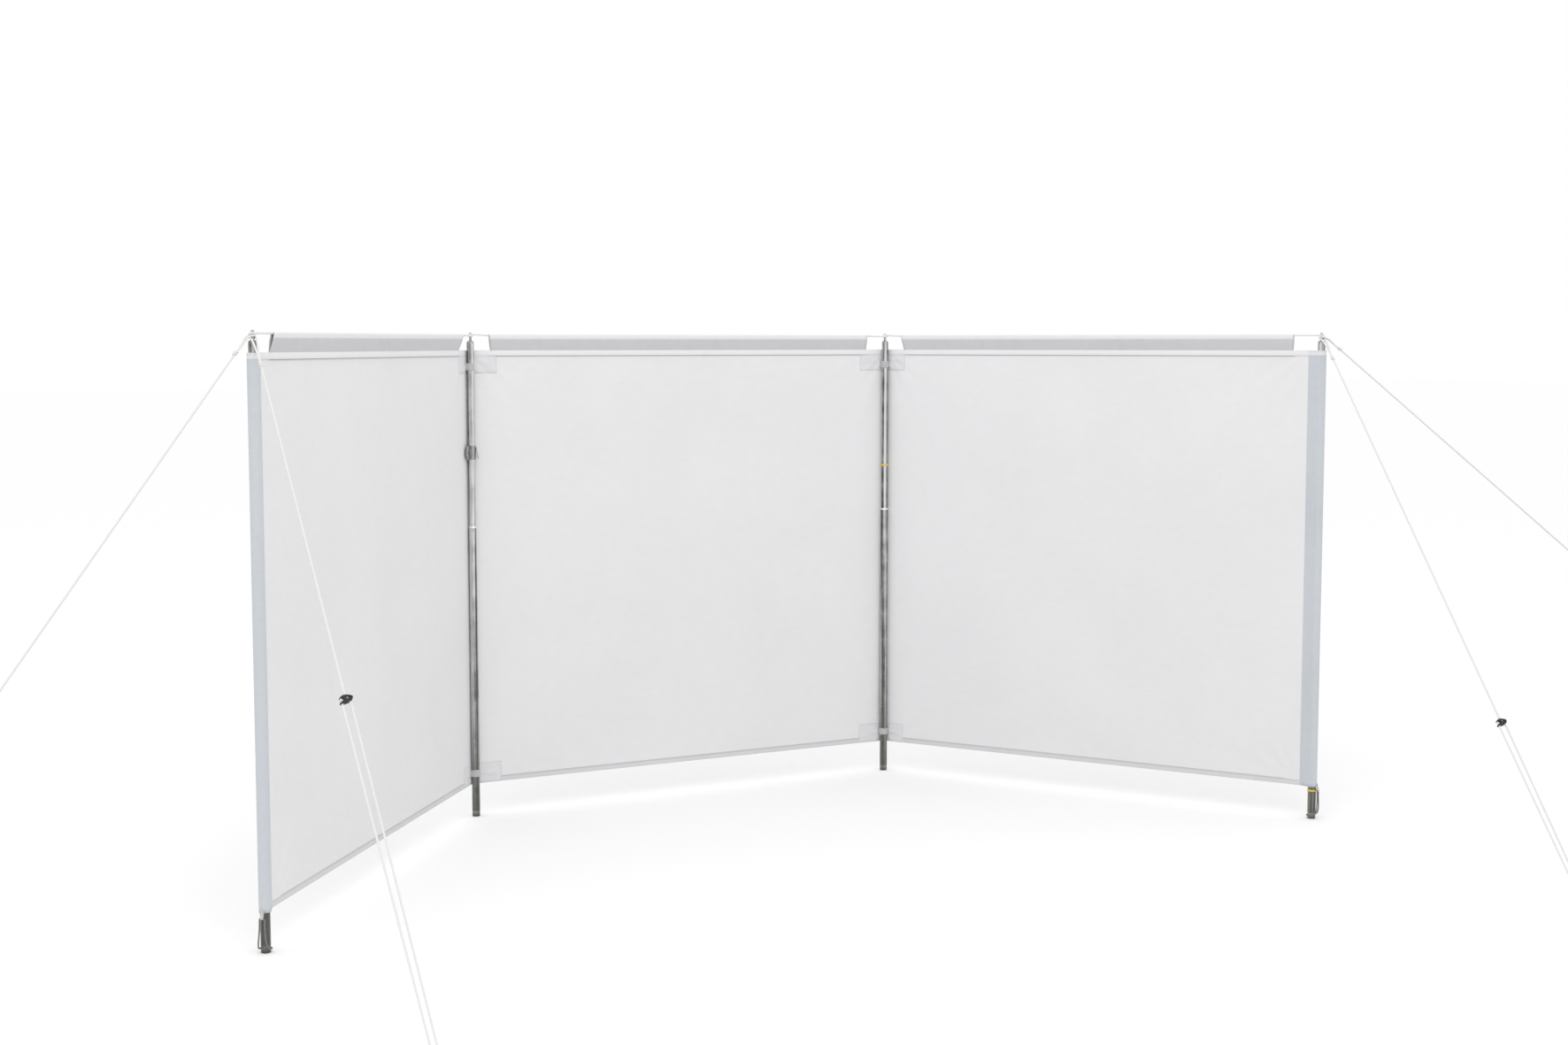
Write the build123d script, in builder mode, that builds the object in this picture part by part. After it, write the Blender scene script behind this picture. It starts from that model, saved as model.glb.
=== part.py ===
"""Three-bay beach windbreak: a cloth screen on four steel poles, pegged down by guy ropes.

The left inner pole stands at the origin. +X runs along the middle bay from the left inner pole
to the right one, the two outer bays turn towards the front (-Y), and the ground is at z = 0.
"""
import os
from math import acos, asin, cos, radians, sin, tan

from build123d import *

os.makedirs("parts", exist_ok=True)

# Plan of the screen
bay_width = 1500.0
left_turn = 50.7
right_turn = 58.6

# Cloth
cloth_height = 1400.0
ground_gap = 100.0
cloth_thickness = 1.0
rope_sleeve_height = 50.0
rope_sleeve_radius = 5.0
left_end_window_top = 112.0
left_end_window_bottom = 88.0
left_inner_window_top = 34.0
left_inner_window_bottom = 78.0
middle_window_top = 72.0
middle_window_bottom = 76.0
right_inner_window_top = 62.0
right_inner_window_bottom = 74.0
right_end_window_top = 86.0
right_end_window_bottom = 87.0
pole_sleeve_reach = 40.0

# Fold patches and pole loops
patch_middle_reach = 97.0
patch_outer_reach = 75.0
top_patch_height = 70.0
bottom_patch_height = 64.0
patch_thickness = 0.8
loop_height = 22.0
loop_thickness = 1.4
loop_tab = 5.0
top_loop_drop = 100.0
bottom_loop_rise = 36.0

# Poles: a thin upper tube that slides into a wider lower tube
upper_tube_diameter = 22.0
upper_tube_wall = 1.0
lower_tube_wall = 1.2
joint_height = 910.0
tube_overlap = 150.0
bead_height = 5.0
bead_depth = 1.0

# Ground spike at the foot of each pole
spike_diameter = 24.0
spike_show = 18.0
plug_length = 50.0

# Domed tip with its rope pin
dome_drop = 20.0
dome_height = 6.0
dome_width_share = 0.74
dome_rise_share = 0.66
tip_flange = 2.0
tip_plug_length = 30.0
pin_diameter = 8.0
pin_rise = 4.0

# Ropes
rope_diameter = 5.0
knot_diameter = 7.0
knot_length = 5.0
guy_neck = 6.0
bend_share = 0.9

# Guys: where each one meets the ground, seen from the foot of its pole
left_outer_reach = 1260.0
left_outer_bearing = -159.3
left_front_reach = 1300.0
left_front_bearing = -89.4
right_outer_reach = 1740.0
right_outer_bearing = -26.1
right_front_reach = 1505.0
right_front_bearing = -105.5

# How far down its guy each runner has been pushed
left_outer_runner_share = 0.56
left_front_runner_share = 0.515
right_outer_runner_share = 0.6
right_front_runner_share = 0.678

# Guy runners
runner_length = 34.0
runner_width = 20.0
runner_thickness = 9.0
runner_tilt = 24.0
runner_slot_length = 11.0
runner_slot_width = 3.2
runner_outline_shares = (
    (0.00, -0.06),
    (0.07, -0.18),
    (0.41, -0.30),
    (0.75, -0.33),
    (0.90, -0.17),
    (1.00, 0.03),
    (0.91, 0.28),
    (0.69, 0.55),
    (0.46, 0.67),
    (0.25, 0.61),
    (0.13, 0.49),
    (0.36, 0.46),
    (0.40, 0.07),
    (0.01, 0.04),
)
runner_slot_shares = (0.66, 0.16)
runner_entry_shares = (0.67, 0.72)
runner_exit_shares = (0.66, -0.45)
runner_knot_shares = (0.225, 0.245)

# Hooked ground pegs
peg_diameter = 7.0
peg_shaft = 46.0
peg_hook_radius = 9.0
peg_hook_tail = 12.0
peg_loop_height = 24.0

# Elastic corner cords and their tape tabs
cord_diameter = 4.0
cord_height = 9.0
cord_stand_off = 1.5
tab_width = 8.0
tab_drop = 12.0
tab_lap = 10.0
tab_thickness = 1.2

# Clip on the left inner pole
clip_rise_share = 0.473
clip_height = 44.0
clip_thickness = 1.5
clip_grip_diameter = 20.0
clip_grip_bearing = -138.0
clip_grip_neck = 9.0
clip_grip_low_share = 0.36
clip_grip_high_share = 0.6
clip_tongue_bearing = -28.0
clip_tongue_length = 38.0
clip_tongue_flare = 9.0
clip_tongue_width = 12.0

# Coloured marker rings
marker_height = 5.5
marker_thickness = 1.2
marker_rise_share = 0.308
right_end_marker_drop = 12.0

# Fits
gap = 0.3
overrun = 20.0

# Sizes that follow
cloth_bottom = ground_gap
cloth_top = ground_gap + cloth_height
window_bottom = cloth_top - rope_sleeve_height
rope_radius = rope_diameter / 2
pin_radius = pin_diameter / 2
upper_tube_radius = upper_tube_diameter / 2
lower_bore_radius = upper_tube_radius + gap
lower_tube_radius = lower_bore_radius + lower_tube_wall
tube_foot = spike_show
dome_top = cloth_top - dome_drop
upper_tube_top = dome_top - dome_height - tip_flange
rope_level = cloth_top - cloth_thickness - gap - rope_radius
turn_pitch = rope_diameter + gap
turn_radius = pin_radius + gap + rope_radius
pole_sleeve_radius = lower_tube_radius + bead_depth + gap + cloth_thickness


def level(point, height):
    """Give a point in plan its height."""
    return Vector(point.X, point.Y, height)


def heading(bearing):
    """Unit vector in plan, with the bearing counted from +X towards +Y."""
    return Vector(cos(radians(bearing)), sin(radians(bearing)), 0)


# Plan points: each inner pole stands inside its fold, touching both bays
pole_set_back = lower_tube_radius + gap + patch_thickness + cloth_thickness / 2
left_fold_depth = pole_set_back / cos(radians(left_turn / 2))
right_fold_depth = pole_set_back / cos(radians(right_turn / 2))
left_out = heading(90 + left_turn / 2)
right_out = heading(90 - right_turn / 2)
left_inner = Vector(0, 0, 0)
left_fold = left_inner + left_out * left_fold_depth
right_fold = left_fold + heading(0) * bay_width
right_inner = right_fold - right_out * right_fold_depth
left_bay_heading = heading(180 + left_turn)
right_bay_heading = heading(-right_turn)
left_end = left_fold + left_bay_heading * bay_width
right_end = right_fold + right_bay_heading * bay_width

poles = {
    "left_end": left_end,
    "left_inner": left_inner,
    "right_inner": right_inner,
    "right_end": right_end,
}


def save(name, part):
    """Label a finished piece and write it."""
    part.label = name
    export_step(part, f"parts/{name}.step")


# Poles, from the ground up
for name, foot in poles.items():
    pole_section = Plane(origin=foot, x_dir=(1, 0, 0), z_dir=(0, -1, 0))

    with BuildPart() as spike:
        with BuildSketch(pole_section):
            with BuildLine():
                Polyline(
                    (0, 0),
                    (spike_diameter / 2, 0),
                    (spike_diameter / 2, tube_foot),
                    (lower_bore_radius - gap, tube_foot),
                    (lower_bore_radius - gap, tube_foot + plug_length),
                    (0, tube_foot + plug_length),
                    close=True,
                )
            make_face()
        revolve(axis=Axis(foot, (0, 0, 1)))
    save(f"{name}_ground_spike", spike.part)

    # The lower tube has a rolled bead at its mouth
    with BuildPart() as lower_tube:
        with BuildSketch(pole_section):
            with BuildLine():
                Polyline(
                    (lower_bore_radius, tube_foot),
                    (lower_tube_radius, tube_foot),
                    (lower_tube_radius, joint_height - bead_height),
                    (lower_tube_radius + bead_depth, joint_height - bead_height / 2),
                    (lower_tube_radius, joint_height),
                    (lower_bore_radius, joint_height),
                    close=True,
                )
            make_face()
        revolve(axis=Axis(foot, (0, 0, 1)))
    save(f"{name}_lower_tube", lower_tube.part)

    with BuildPart() as upper_tube:
        with BuildSketch(Plane(origin=level(foot, joint_height - tube_overlap))):
            Circle(upper_tube_radius)
            Circle(upper_tube_radius - upper_tube_wall, mode=Mode.SUBTRACT)
        extrude(amount=upper_tube_top - (joint_height - tube_overlap))
    save(f"{name}_upper_tube", upper_tube.part)

    # The tip is a plug with a domed cap, drawn up into the pin that carries the ropes
    with BuildPart() as tip:
        plug_radius = upper_tube_radius - upper_tube_wall - gap
        dome_foot = upper_tube_top + tip_flange
        pin_top = cloth_top + pin_rise
        with BuildSketch(pole_section):
            with BuildLine():
                Polyline(
                    (0, upper_tube_top - tip_plug_length),
                    (plug_radius, upper_tube_top - tip_plug_length),
                    (plug_radius, upper_tube_top),
                    (upper_tube_radius, upper_tube_top),
                    (upper_tube_radius, dome_foot),
                    (upper_tube_radius * dome_width_share, dome_foot + dome_height * dome_rise_share),
                    (pin_radius, dome_top),
                    (pin_radius, pin_top),
                    (0, pin_top),
                    close=True,
                )
            make_face()
        revolve(axis=Axis(foot, (0, 0, 1)))
    save(f"{name}_pole_tip", tip.part)


# Cloth bays: flat panels that meet in a mitre at the two folds
def half_thickness_at(turn):
    """Half of the cloth's thickness, measured along the mitre of a fold."""
    return cloth_thickness / 2 / cos(radians(turn / 2))


def sleeve_tip(radius, reach):
    """Where a sleeve that narrows to its seam is as thick as the cloth."""
    return reach - cloth_thickness / 2 / tan(asin(radius / reach))


seam_reach = sleeve_tip(pole_sleeve_radius, pole_sleeve_reach)
left_mitre = left_out * half_thickness_at(left_turn)
right_mitre = right_out * half_thickness_at(right_turn)
left_side = left_bay_heading.rotate(Axis.Z, 90) * (cloth_thickness / 2)
right_side = right_bay_heading.rotate(Axis.Z, 90) * (cloth_thickness / 2)
left_seam = left_end - left_bay_heading * seam_reach
right_seam = right_end - right_bay_heading * seam_reach
bay_plans = {
    "left": (left_seam + left_side, left_fold - left_mitre, left_fold + left_mitre, left_seam - left_side),
    "middle": (
        left_fold - left_mitre,
        right_fold - right_mitre,
        right_fold + right_mitre,
        left_fold + left_mitre,
    ),
    "right": (
        right_fold - right_mitre,
        right_seam - right_side,
        right_seam + right_side,
        right_fold + right_mitre,
    ),
}
for name, corners in bay_plans.items():
    with BuildPart() as bay_cloth:
        with BuildSketch(Plane.XY.offset(cloth_bottom)):
            with BuildLine():
                Polyline(*[(corner.X, corner.Y) for corner in corners], close=True)
            make_face()
        extrude(amount=window_bottom - cloth_bottom)
    save(f"{name}_bay_cloth", bay_cloth.part)


def sleeve_section(radius, reach):
    """A cloth sleeve in section: round the pole or rope, then narrowing to its seam along +X."""
    opening = acos(radius / reach)
    tip = sleeve_tip(radius, reach)
    for wall_radius, mode in ((radius, Mode.ADD), (radius - cloth_thickness, Mode.SUBTRACT)):
        tangent_x = wall_radius * cos(opening)
        tangent_y = wall_radius * sin(opening)
        point_x = reach * wall_radius / radius
        Circle(wall_radius, mode=mode)
        Polygon((0, 0), (tangent_x, tangent_y), (point_x, 0), (tangent_x, -tangent_y), align=None, mode=mode)
    with Locations((tip + overrun, 0)):
        Rectangle(2 * overrun, 2 * overrun, mode=Mode.SUBTRACT)


# Pole sleeves along the two outer edges
for name, foot, bay_heading in (
    ("left", left_end, left_bay_heading),
    ("right", right_end, right_bay_heading),
):
    with BuildPart() as pole_sleeve:
        with BuildSketch(Plane(origin=level(foot, cloth_bottom), x_dir=-bay_heading, z_dir=(0, 0, 1))):
            sleeve_section(pole_sleeve_radius, pole_sleeve_reach)
        extrude(amount=window_bottom - cloth_bottom)
    save(f"{name}_pole_sleeve", pole_sleeve.part)


# Rope sleeves along the top, cut away on a slant beside every pole
rope_sleeve_middle = cloth_top - rope_sleeve_radius
rope_sleeve_seam = rope_sleeve_middle - window_bottom
rope_sleeve_reach = rope_sleeve_seam
for step in range(20):
    rope_sleeve_reach += rope_sleeve_seam - sleeve_tip(rope_sleeve_radius, rope_sleeve_reach)
left_end_window = (left_end_window_top, left_end_window_bottom)
left_inner_window = (left_inner_window_top, left_inner_window_bottom)
middle_window = (middle_window_top, middle_window_bottom)
right_inner_window = (right_inner_window_top, right_inner_window_bottom)
right_end_window = (right_end_window_top, right_end_window_bottom)
rope_sleeves = {
    "left": (left_end, left_fold, left_end_window, left_inner_window),
    "middle": (left_fold, right_fold, middle_window, middle_window),
    "right": (right_fold, right_end, right_inner_window, right_end_window),
}
for name, (start, end, near_window, far_window) in rope_sleeves.items():
    along = (end - start).normalized()
    with BuildPart() as rope_sleeve:
        with BuildSketch(Plane(origin=level(start, rope_sleeve_middle), x_dir=(0, 0, -1), z_dir=along)):
            sleeve_section(rope_sleeve_radius, rope_sleeve_reach)
        extrude(amount=bay_width)
        across = along.cross(Vector(0, 0, 1))
        with BuildSketch(Plane(origin=level(start, window_bottom), x_dir=along, z_dir=across)):
            with BuildLine():
                Polyline(
                    (near_window[1], 0),
                    (bay_width - far_window[1], 0),
                    (bay_width - far_window[0], rope_sleeve_height),
                    (near_window[0], rope_sleeve_height),
                    close=True,
                )
            make_face()
        extrude(amount=rope_sleeve_radius + overrun, both=True, mode=Mode.INTERSECT)
    save(f"{name}_rope_sleeve", rope_sleeve.part)


# Patches sewn into the two folds, and the loops that hold the inner poles
def fold_plane(pole, turn_angle, height):
    """Plane at an inner pole, with +Y pointing out through the fold."""
    return Plane(origin=level(pole, height), x_dir=heading(turn_angle), z_dir=(0, 0, 1))


def fold_wedge(depth, half_turn, reach, mode):
    """The space in front of a folded face whose crease lies at a depth behind the pole."""
    side = depth - reach * tan(radians(half_turn))
    corners = (reach, side), (reach, -reach), (-reach, -reach), (-reach, side)
    Polygon((0, depth), *corners, align=None, mode=mode)


top_patch_floor = window_bottom - top_patch_height
top_loop_floor = cloth_top - top_loop_drop - loop_height / 2
bottom_loop_floor = cloth_bottom + bottom_loop_rise - loop_height / 2
folds = {
    "left": (left_inner, left_turn / 2, left_turn / 2, 1),
    "right": (right_inner, -right_turn / 2, right_turn / 2, -1),
}
for name, (pole, turn_angle, half_turn, middle_side) in folds.items():
    stretch = 1 / cos(radians(half_turn))
    face_depth = (lower_tube_radius + gap) * stretch
    back_depth = (lower_tube_radius + gap + patch_thickness) * stretch
    wide = max(patch_middle_reach, patch_outer_reach) + overrun
    patch_shift = middle_side * (patch_middle_reach - patch_outer_reach) / 2 * cos(radians(half_turn))
    patch_span = (patch_middle_reach + patch_outer_reach) * cos(radians(half_turn))
    with BuildPart() as fold_patches:
        for floor, height in ((top_patch_floor, top_patch_height), (cloth_bottom, bottom_patch_height)):
            with BuildSketch(fold_plane(pole, turn_angle, floor)):
                fold_wedge(back_depth, half_turn, wide, Mode.ADD)
                fold_wedge(face_depth, half_turn, wide, Mode.SUBTRACT)
                with Locations((patch_shift, 0)):
                    Rectangle(patch_span, 4 * wide, mode=Mode.INTERSECT)
            extrude(amount=height)
    save(f"{name}_fold_patches", fold_patches.part)

    with BuildPart() as pole_loops:
        loops = (top_loop_floor, upper_tube_radius), (bottom_loop_floor, lower_tube_radius)
        for floor, tube_radius in loops:
            inside = tube_radius + gap
            outside = inside + loop_thickness
            tab_reach = outside + loop_tab
            tab_depth = (lower_tube_radius + gap - loop_thickness) * stretch
            with BuildSketch(fold_plane(pole, turn_angle, floor)):
                fold_wedge(face_depth, half_turn, tab_reach, Mode.ADD)
                fold_wedge(tab_depth, half_turn, tab_reach, Mode.SUBTRACT)
                Circle(outside)
                fold_wedge(face_depth, half_turn, wide, Mode.INTERSECT)
                Circle(inside, mode=Mode.SUBTRACT)
                with Locations((0, wide / 2)):
                    Rectangle(2 * inside * sin(radians(half_turn)), wide, mode=Mode.SUBTRACT)
            extrude(amount=loop_height)
    save(f"{name}_pole_loops", pole_loops.part)


# Ropes, drawn with eight sides
def rope_run(points, radius):
    """A taut rope along straight runs from point to point."""
    with BuildLine() as route:
        Polyline(*points)
    with BuildSketch(Plane(origin=route.line @ 0, z_dir=route.line % 0)) as section:
        RegularPolygon(radius, 8)
    sweep(sections=section.sketch, path=route.line, transition=Transition.RIGHT)


def rope_turn(middle, inside_radius, radius):
    """One level turn of rope round an upright pin."""
    with BuildSketch(Plane(origin=middle - Vector(0, 0, radius))) as ring:
        RegularPolygon(inside_radius + 2 * radius, 12)
        RegularPolygon(inside_radius, 12, major_radius=False, mode=Mode.SUBTRACT)
    extrude(ring.sketch, amount=2 * radius)


def half_turn_points(middle, side, beyond, radius):
    """Corners of half a turn of rope, from one side of a rod round behind it to the other."""
    corner = radius * tan(radians(45 / 2))
    return [
        middle - side * radius + beyond * corner,
        middle - side * corner + beyond * radius,
        middle + side * corner + beyond * radius,
        middle + side * radius + beyond * corner,
    ]


left_entry = left_fold + left_bay_heading * (left_inner_window_top * bend_share)
middle_entry = left_fold + heading(0) * (middle_window_top * bend_share)
middle_exit = right_fold - heading(0) * (middle_window_top * bend_share)
right_entry = right_fold + right_bay_heading * (right_inner_window_top * bend_share)
top_runs = (
    (left_end, left_entry, left_inner),
    (left_inner, middle_entry, middle_exit, right_inner),
    (right_inner, right_entry, right_end),
)
with BuildPart() as top_rope:
    for run in top_runs:
        stops = [level(point, rope_level) for point in run]
        stops[0] += (stops[1] - stops[0]).normalized() * turn_radius
        stops[-1] += (stops[-2] - stops[-1]).normalized() * turn_radius
        rope_run(stops, rope_radius)
    for foot in poles.values():
        rope_turn(level(foot, rope_level), pin_radius + gap, rope_radius)
save("top_rope", top_rope.part)

guys = {
    "left_outer": (left_end, left_outer_reach, left_outer_bearing, 1, left_outer_runner_share),
    "left_front": (left_end, left_front_reach, left_front_bearing, 2, left_front_runner_share),
    "right_outer": (right_end, right_outer_reach, right_outer_bearing, 1, right_outer_runner_share),
    "right_front": (right_end, right_front_reach, right_front_bearing, 2, right_front_runner_share),
}
peg_radius = peg_diameter / 2
bight_radius = peg_radius + gap + rope_radius
knot_radius = knot_diameter / 2
tilt = radians(runner_tilt)


def rope_bore(start, end):
    """An eight-sided hole for a rope, from one point to another."""
    with BuildSketch(Plane(origin=start, z_dir=end - start)) as bore:
        RegularPolygon(rope_radius + gap, 8, major_radius=False)
    extrude(bore.sketch, amount=(end - start).length, mode=Mode.SUBTRACT)


def on_runner(shares):
    """A place on the runner's face, from shares of its length and width, seen from where the rope enters."""
    along = (shares[0] - runner_entry_shares[0]) * runner_length
    upward = (shares[1] - runner_entry_shares[1]) * runner_width
    return along, upward


for name, (foot, reach, bearing, turn, runner_share) in guys.items():
    outward = heading(bearing)
    across = heading(bearing + 90)
    turn_height = rope_level - turn * turn_pitch
    eye = level(foot, turn_height) + outward * turn_radius
    head = eye + outward * guy_neck
    peg_centre = level(foot + outward * reach, peg_loop_height)
    down = (peg_centre - head).normalized()
    lift = down.cross(across)
    entry = head + (peg_centre - head) * runner_share
    runner_plane = Plane(origin=entry, x_dir=across * cos(tilt) - down * sin(tilt), z_dir=lift)
    leave = runner_plane.from_local_coords(on_runner(runner_exit_shares))
    knot = runner_plane.from_local_coords(on_runner(runner_knot_shares))
    bight = half_turn_points(peg_centre, across * -1, down, bight_radius)
    rise = (knot - bight[-1]).normalized()

    # The rope runs from its eye through the runner to the peg, round it and back up to a knot
    with BuildPart() as guy:
        rope_turn(level(foot, turn_height), pin_radius + gap, rope_radius)
        rope_run([eye, head, entry, leave, *bight, knot], rope_radius)
        rope_run([knot - rise * (knot_length / 2), knot + rise * (knot_length / 2)], knot_radius)
    save(f"{name}_guy", guy.part)

    # Runner: a flat toggle bored for the rope, with an open notch in which the knot is caught
    with BuildPart() as runner:
        with BuildSketch(runner_plane.offset(-runner_thickness / 2)):
            Polygon(*[on_runner(shares) for shares in runner_outline_shares], align=None)
            with Locations(on_runner(runner_slot_shares)):
                Rectangle(runner_slot_length, runner_slot_width, rotation=-runner_tilt, mode=Mode.SUBTRACT)
        extrude(amount=runner_thickness)
        rope_bore(entry, leave)
        rope_bore(knot - rise * runner_width, knot)
    save(f"{name}_runner", runner.part)

    # Peg: a bent steel rod, driven in square to the rope, cut off where it enters the ground
    with BuildPart() as peg:
        crown = peg_centre + lift * (peg_shaft - peg_loop_height) + down * peg_hook_radius
        hook = half_turn_points(crown, down, lift, peg_hook_radius)
        deep = peg_centre - lift * (peg_loop_height + overrun)
        tail = crown + down * peg_hook_radius - lift * peg_hook_tail
        rope_run([deep, *hook, tail], peg_radius)
        split(bisect_by=Plane.XY, keep=Keep.TOP)
    save(f"{name}_peg", peg.part)


# Corner cords: elastic loops from the foot of each pole sleeve to the ground spike
cord_radius = cord_diameter / 2
cord_turn_radius = spike_diameter / 2 + gap + cord_radius
tab_bore_radius = cord_radius + gap
tab_roll_radius = tab_bore_radius + tab_thickness
tab_stand_off = pole_sleeve_radius + gap
tab_roll_height = cloth_bottom - tab_drop
ends = {"left": (left_end, left_bay_heading), "right": (right_end, right_bay_heading)}
for name, (foot, bay_heading) in ends.items():
    aside = bay_heading.rotate(Axis.Z, 90)
    roll = level(foot + bay_heading * (tab_stand_off + tab_roll_radius), tab_roll_height)

    with BuildPart() as corner_tab:
        with BuildSketch(Plane(origin=roll - aside * (tab_width / 2), x_dir=bay_heading, z_dir=aside)):
            Circle(tab_roll_radius)
            with Locations((-tab_roll_radius + tab_thickness / 2, (tab_drop + tab_lap) / 2)):
                Rectangle(tab_thickness, tab_drop + tab_lap)
            Circle(tab_bore_radius, mode=Mode.SUBTRACT)
        extrude(amount=tab_width)
    save(f"{name}_corner_tab", corner_tab.part)

    with BuildPart() as corner_cord:
        spread = tab_width / 2 + cord_radius + gap
        clear = lower_tube_radius + gap + cord_radius + cord_stand_off
        low = level(foot + bay_heading * clear, cord_height)
        spike_turn = half_turn_points(level(foot, cord_height), aside, bay_heading * -1, cord_turn_radius)
        near, far = roll - aside * spread, roll + aside * spread
        low_near, low_far = low - aside * cord_turn_radius, low + aside * cord_turn_radius
        rope_run([near, low_near, *spike_turn, low_far, far], cord_radius)
        rope_run([near, far], cord_radius)
    save(f"{name}_corner_cord", corner_cord.part)


# The bare upper tube, from the joint to the top loop, carries the clip and one marker ring
bare_tube = top_loop_floor - joint_height

# Clip on the left inner pole: a collar with a barrel grip on one side and a sprung tongue on the other
clip_floor = joint_height + bare_tube * clip_rise_share - clip_height / 2
clip_top = clip_floor + clip_height
collar_radius = upper_tube_radius + gap + clip_thickness
grip_radius = clip_grip_diameter / 2
neck_radius = clip_grip_neck / 2
grip_heading = heading(clip_grip_bearing)
grip_middle = left_inner + grip_heading * (collar_radius + grip_radius - clip_thickness / 2)
grip_plane = Plane(origin=grip_middle, x_dir=grip_heading, z_dir=grip_heading.cross(Vector(0, 0, 1)))
tongue_heading = heading(clip_tongue_bearing)
with BuildPart() as pole_clip:
    with BuildSketch(Plane(origin=level(left_inner, clip_floor))):
        Circle(collar_radius)
    extrude(amount=clip_height)

    # The grip is a barrel that narrows towards its top and bottom
    with BuildSketch(grip_plane):
        with BuildLine():
            Polyline(
                (0, clip_floor),
                (neck_radius, clip_floor),
                (grip_radius, clip_floor + clip_height * clip_grip_low_share),
                (grip_radius, clip_floor + clip_height * clip_grip_high_share),
                (neck_radius, clip_top),
                (0, clip_top),
                close=True,
            )
        make_face()
    revolve(axis=Axis(grip_middle, (0, 0, 1)))
    with BuildSketch(Plane(origin=level(left_inner, clip_floor))):
        Circle(upper_tube_radius + gap)
    extrude(amount=clip_height, mode=Mode.SUBTRACT)

    # The tongue springs away from the collar as it runs down
    tongue_foot = collar_radius + clip_tongue_flare
    tongue_root = collar_radius - clip_thickness / 2
    tongue_top = clip_top - (clip_height - clip_tongue_length) / 2
    with BuildSketch(
        Plane(origin=left_inner, x_dir=tongue_heading, z_dir=tongue_heading.cross(Vector(0, 0, 1)))
    ):
        with BuildLine():
            Polyline(
                (tongue_root, tongue_top),
                (tongue_foot - clip_thickness, tongue_top - clip_tongue_length),
                (tongue_foot, tongue_top - clip_tongue_length),
                (tongue_root + 2 * clip_thickness, tongue_top),
                close=True,
            )
        make_face()
    extrude(amount=clip_tongue_width / 2, both=True)
save("pole_clip", pole_clip.part)

# Marker rings: coloured bands pushed over the tubes
markers = {
    "right_inner": (right_inner, upper_tube_radius, joint_height + bare_tube * marker_rise_share),
    "right_end": (right_end, lower_tube_radius, cloth_bottom - right_end_marker_drop),
}
for name, (foot, tube_radius, height) in markers.items():
    with BuildPart() as marker_ring:
        with BuildSketch(Plane(origin=level(foot, height - marker_height / 2))):
            Circle(tube_radius + gap + marker_thickness)
            Circle(tube_radius + gap, mode=Mode.SUBTRACT)
        extrude(amount=marker_height)
    save(f"{name}_marker_ring", marker_ring.part)
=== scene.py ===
"""Dresses the three-bay beach windbreak: steel poles, white cloth screen, guy ropes and fittings."""

import bmesh
import bpy
import numpy as np
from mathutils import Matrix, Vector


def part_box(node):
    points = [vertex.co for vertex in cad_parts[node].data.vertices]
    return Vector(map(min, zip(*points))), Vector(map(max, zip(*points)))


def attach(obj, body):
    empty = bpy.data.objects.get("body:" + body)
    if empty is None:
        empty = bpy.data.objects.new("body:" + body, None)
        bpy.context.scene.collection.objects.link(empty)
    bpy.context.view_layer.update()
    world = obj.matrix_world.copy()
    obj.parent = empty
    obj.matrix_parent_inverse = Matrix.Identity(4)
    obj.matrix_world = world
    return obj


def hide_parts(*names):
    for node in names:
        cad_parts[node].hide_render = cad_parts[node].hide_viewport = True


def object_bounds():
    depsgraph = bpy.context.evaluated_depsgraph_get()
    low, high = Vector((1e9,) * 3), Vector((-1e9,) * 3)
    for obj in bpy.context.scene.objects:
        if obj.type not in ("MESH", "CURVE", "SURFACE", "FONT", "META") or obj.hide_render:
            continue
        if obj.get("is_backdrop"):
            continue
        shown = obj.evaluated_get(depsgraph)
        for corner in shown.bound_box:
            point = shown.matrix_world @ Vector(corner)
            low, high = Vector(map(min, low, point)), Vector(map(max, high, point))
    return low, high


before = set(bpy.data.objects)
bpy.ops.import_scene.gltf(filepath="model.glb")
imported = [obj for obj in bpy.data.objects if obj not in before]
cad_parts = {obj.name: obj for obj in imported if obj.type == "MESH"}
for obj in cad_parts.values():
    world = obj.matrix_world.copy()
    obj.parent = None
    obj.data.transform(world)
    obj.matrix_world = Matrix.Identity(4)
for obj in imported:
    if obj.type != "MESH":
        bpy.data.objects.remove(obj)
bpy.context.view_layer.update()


# Ground spikes: galvanised steel points plugged into the foot of each pole, nearly as thick as its tube.
# They are pushed into the ground, so the last few millimetres are scuffed and soiled.
sharp_angle = np.radians(50)


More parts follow.
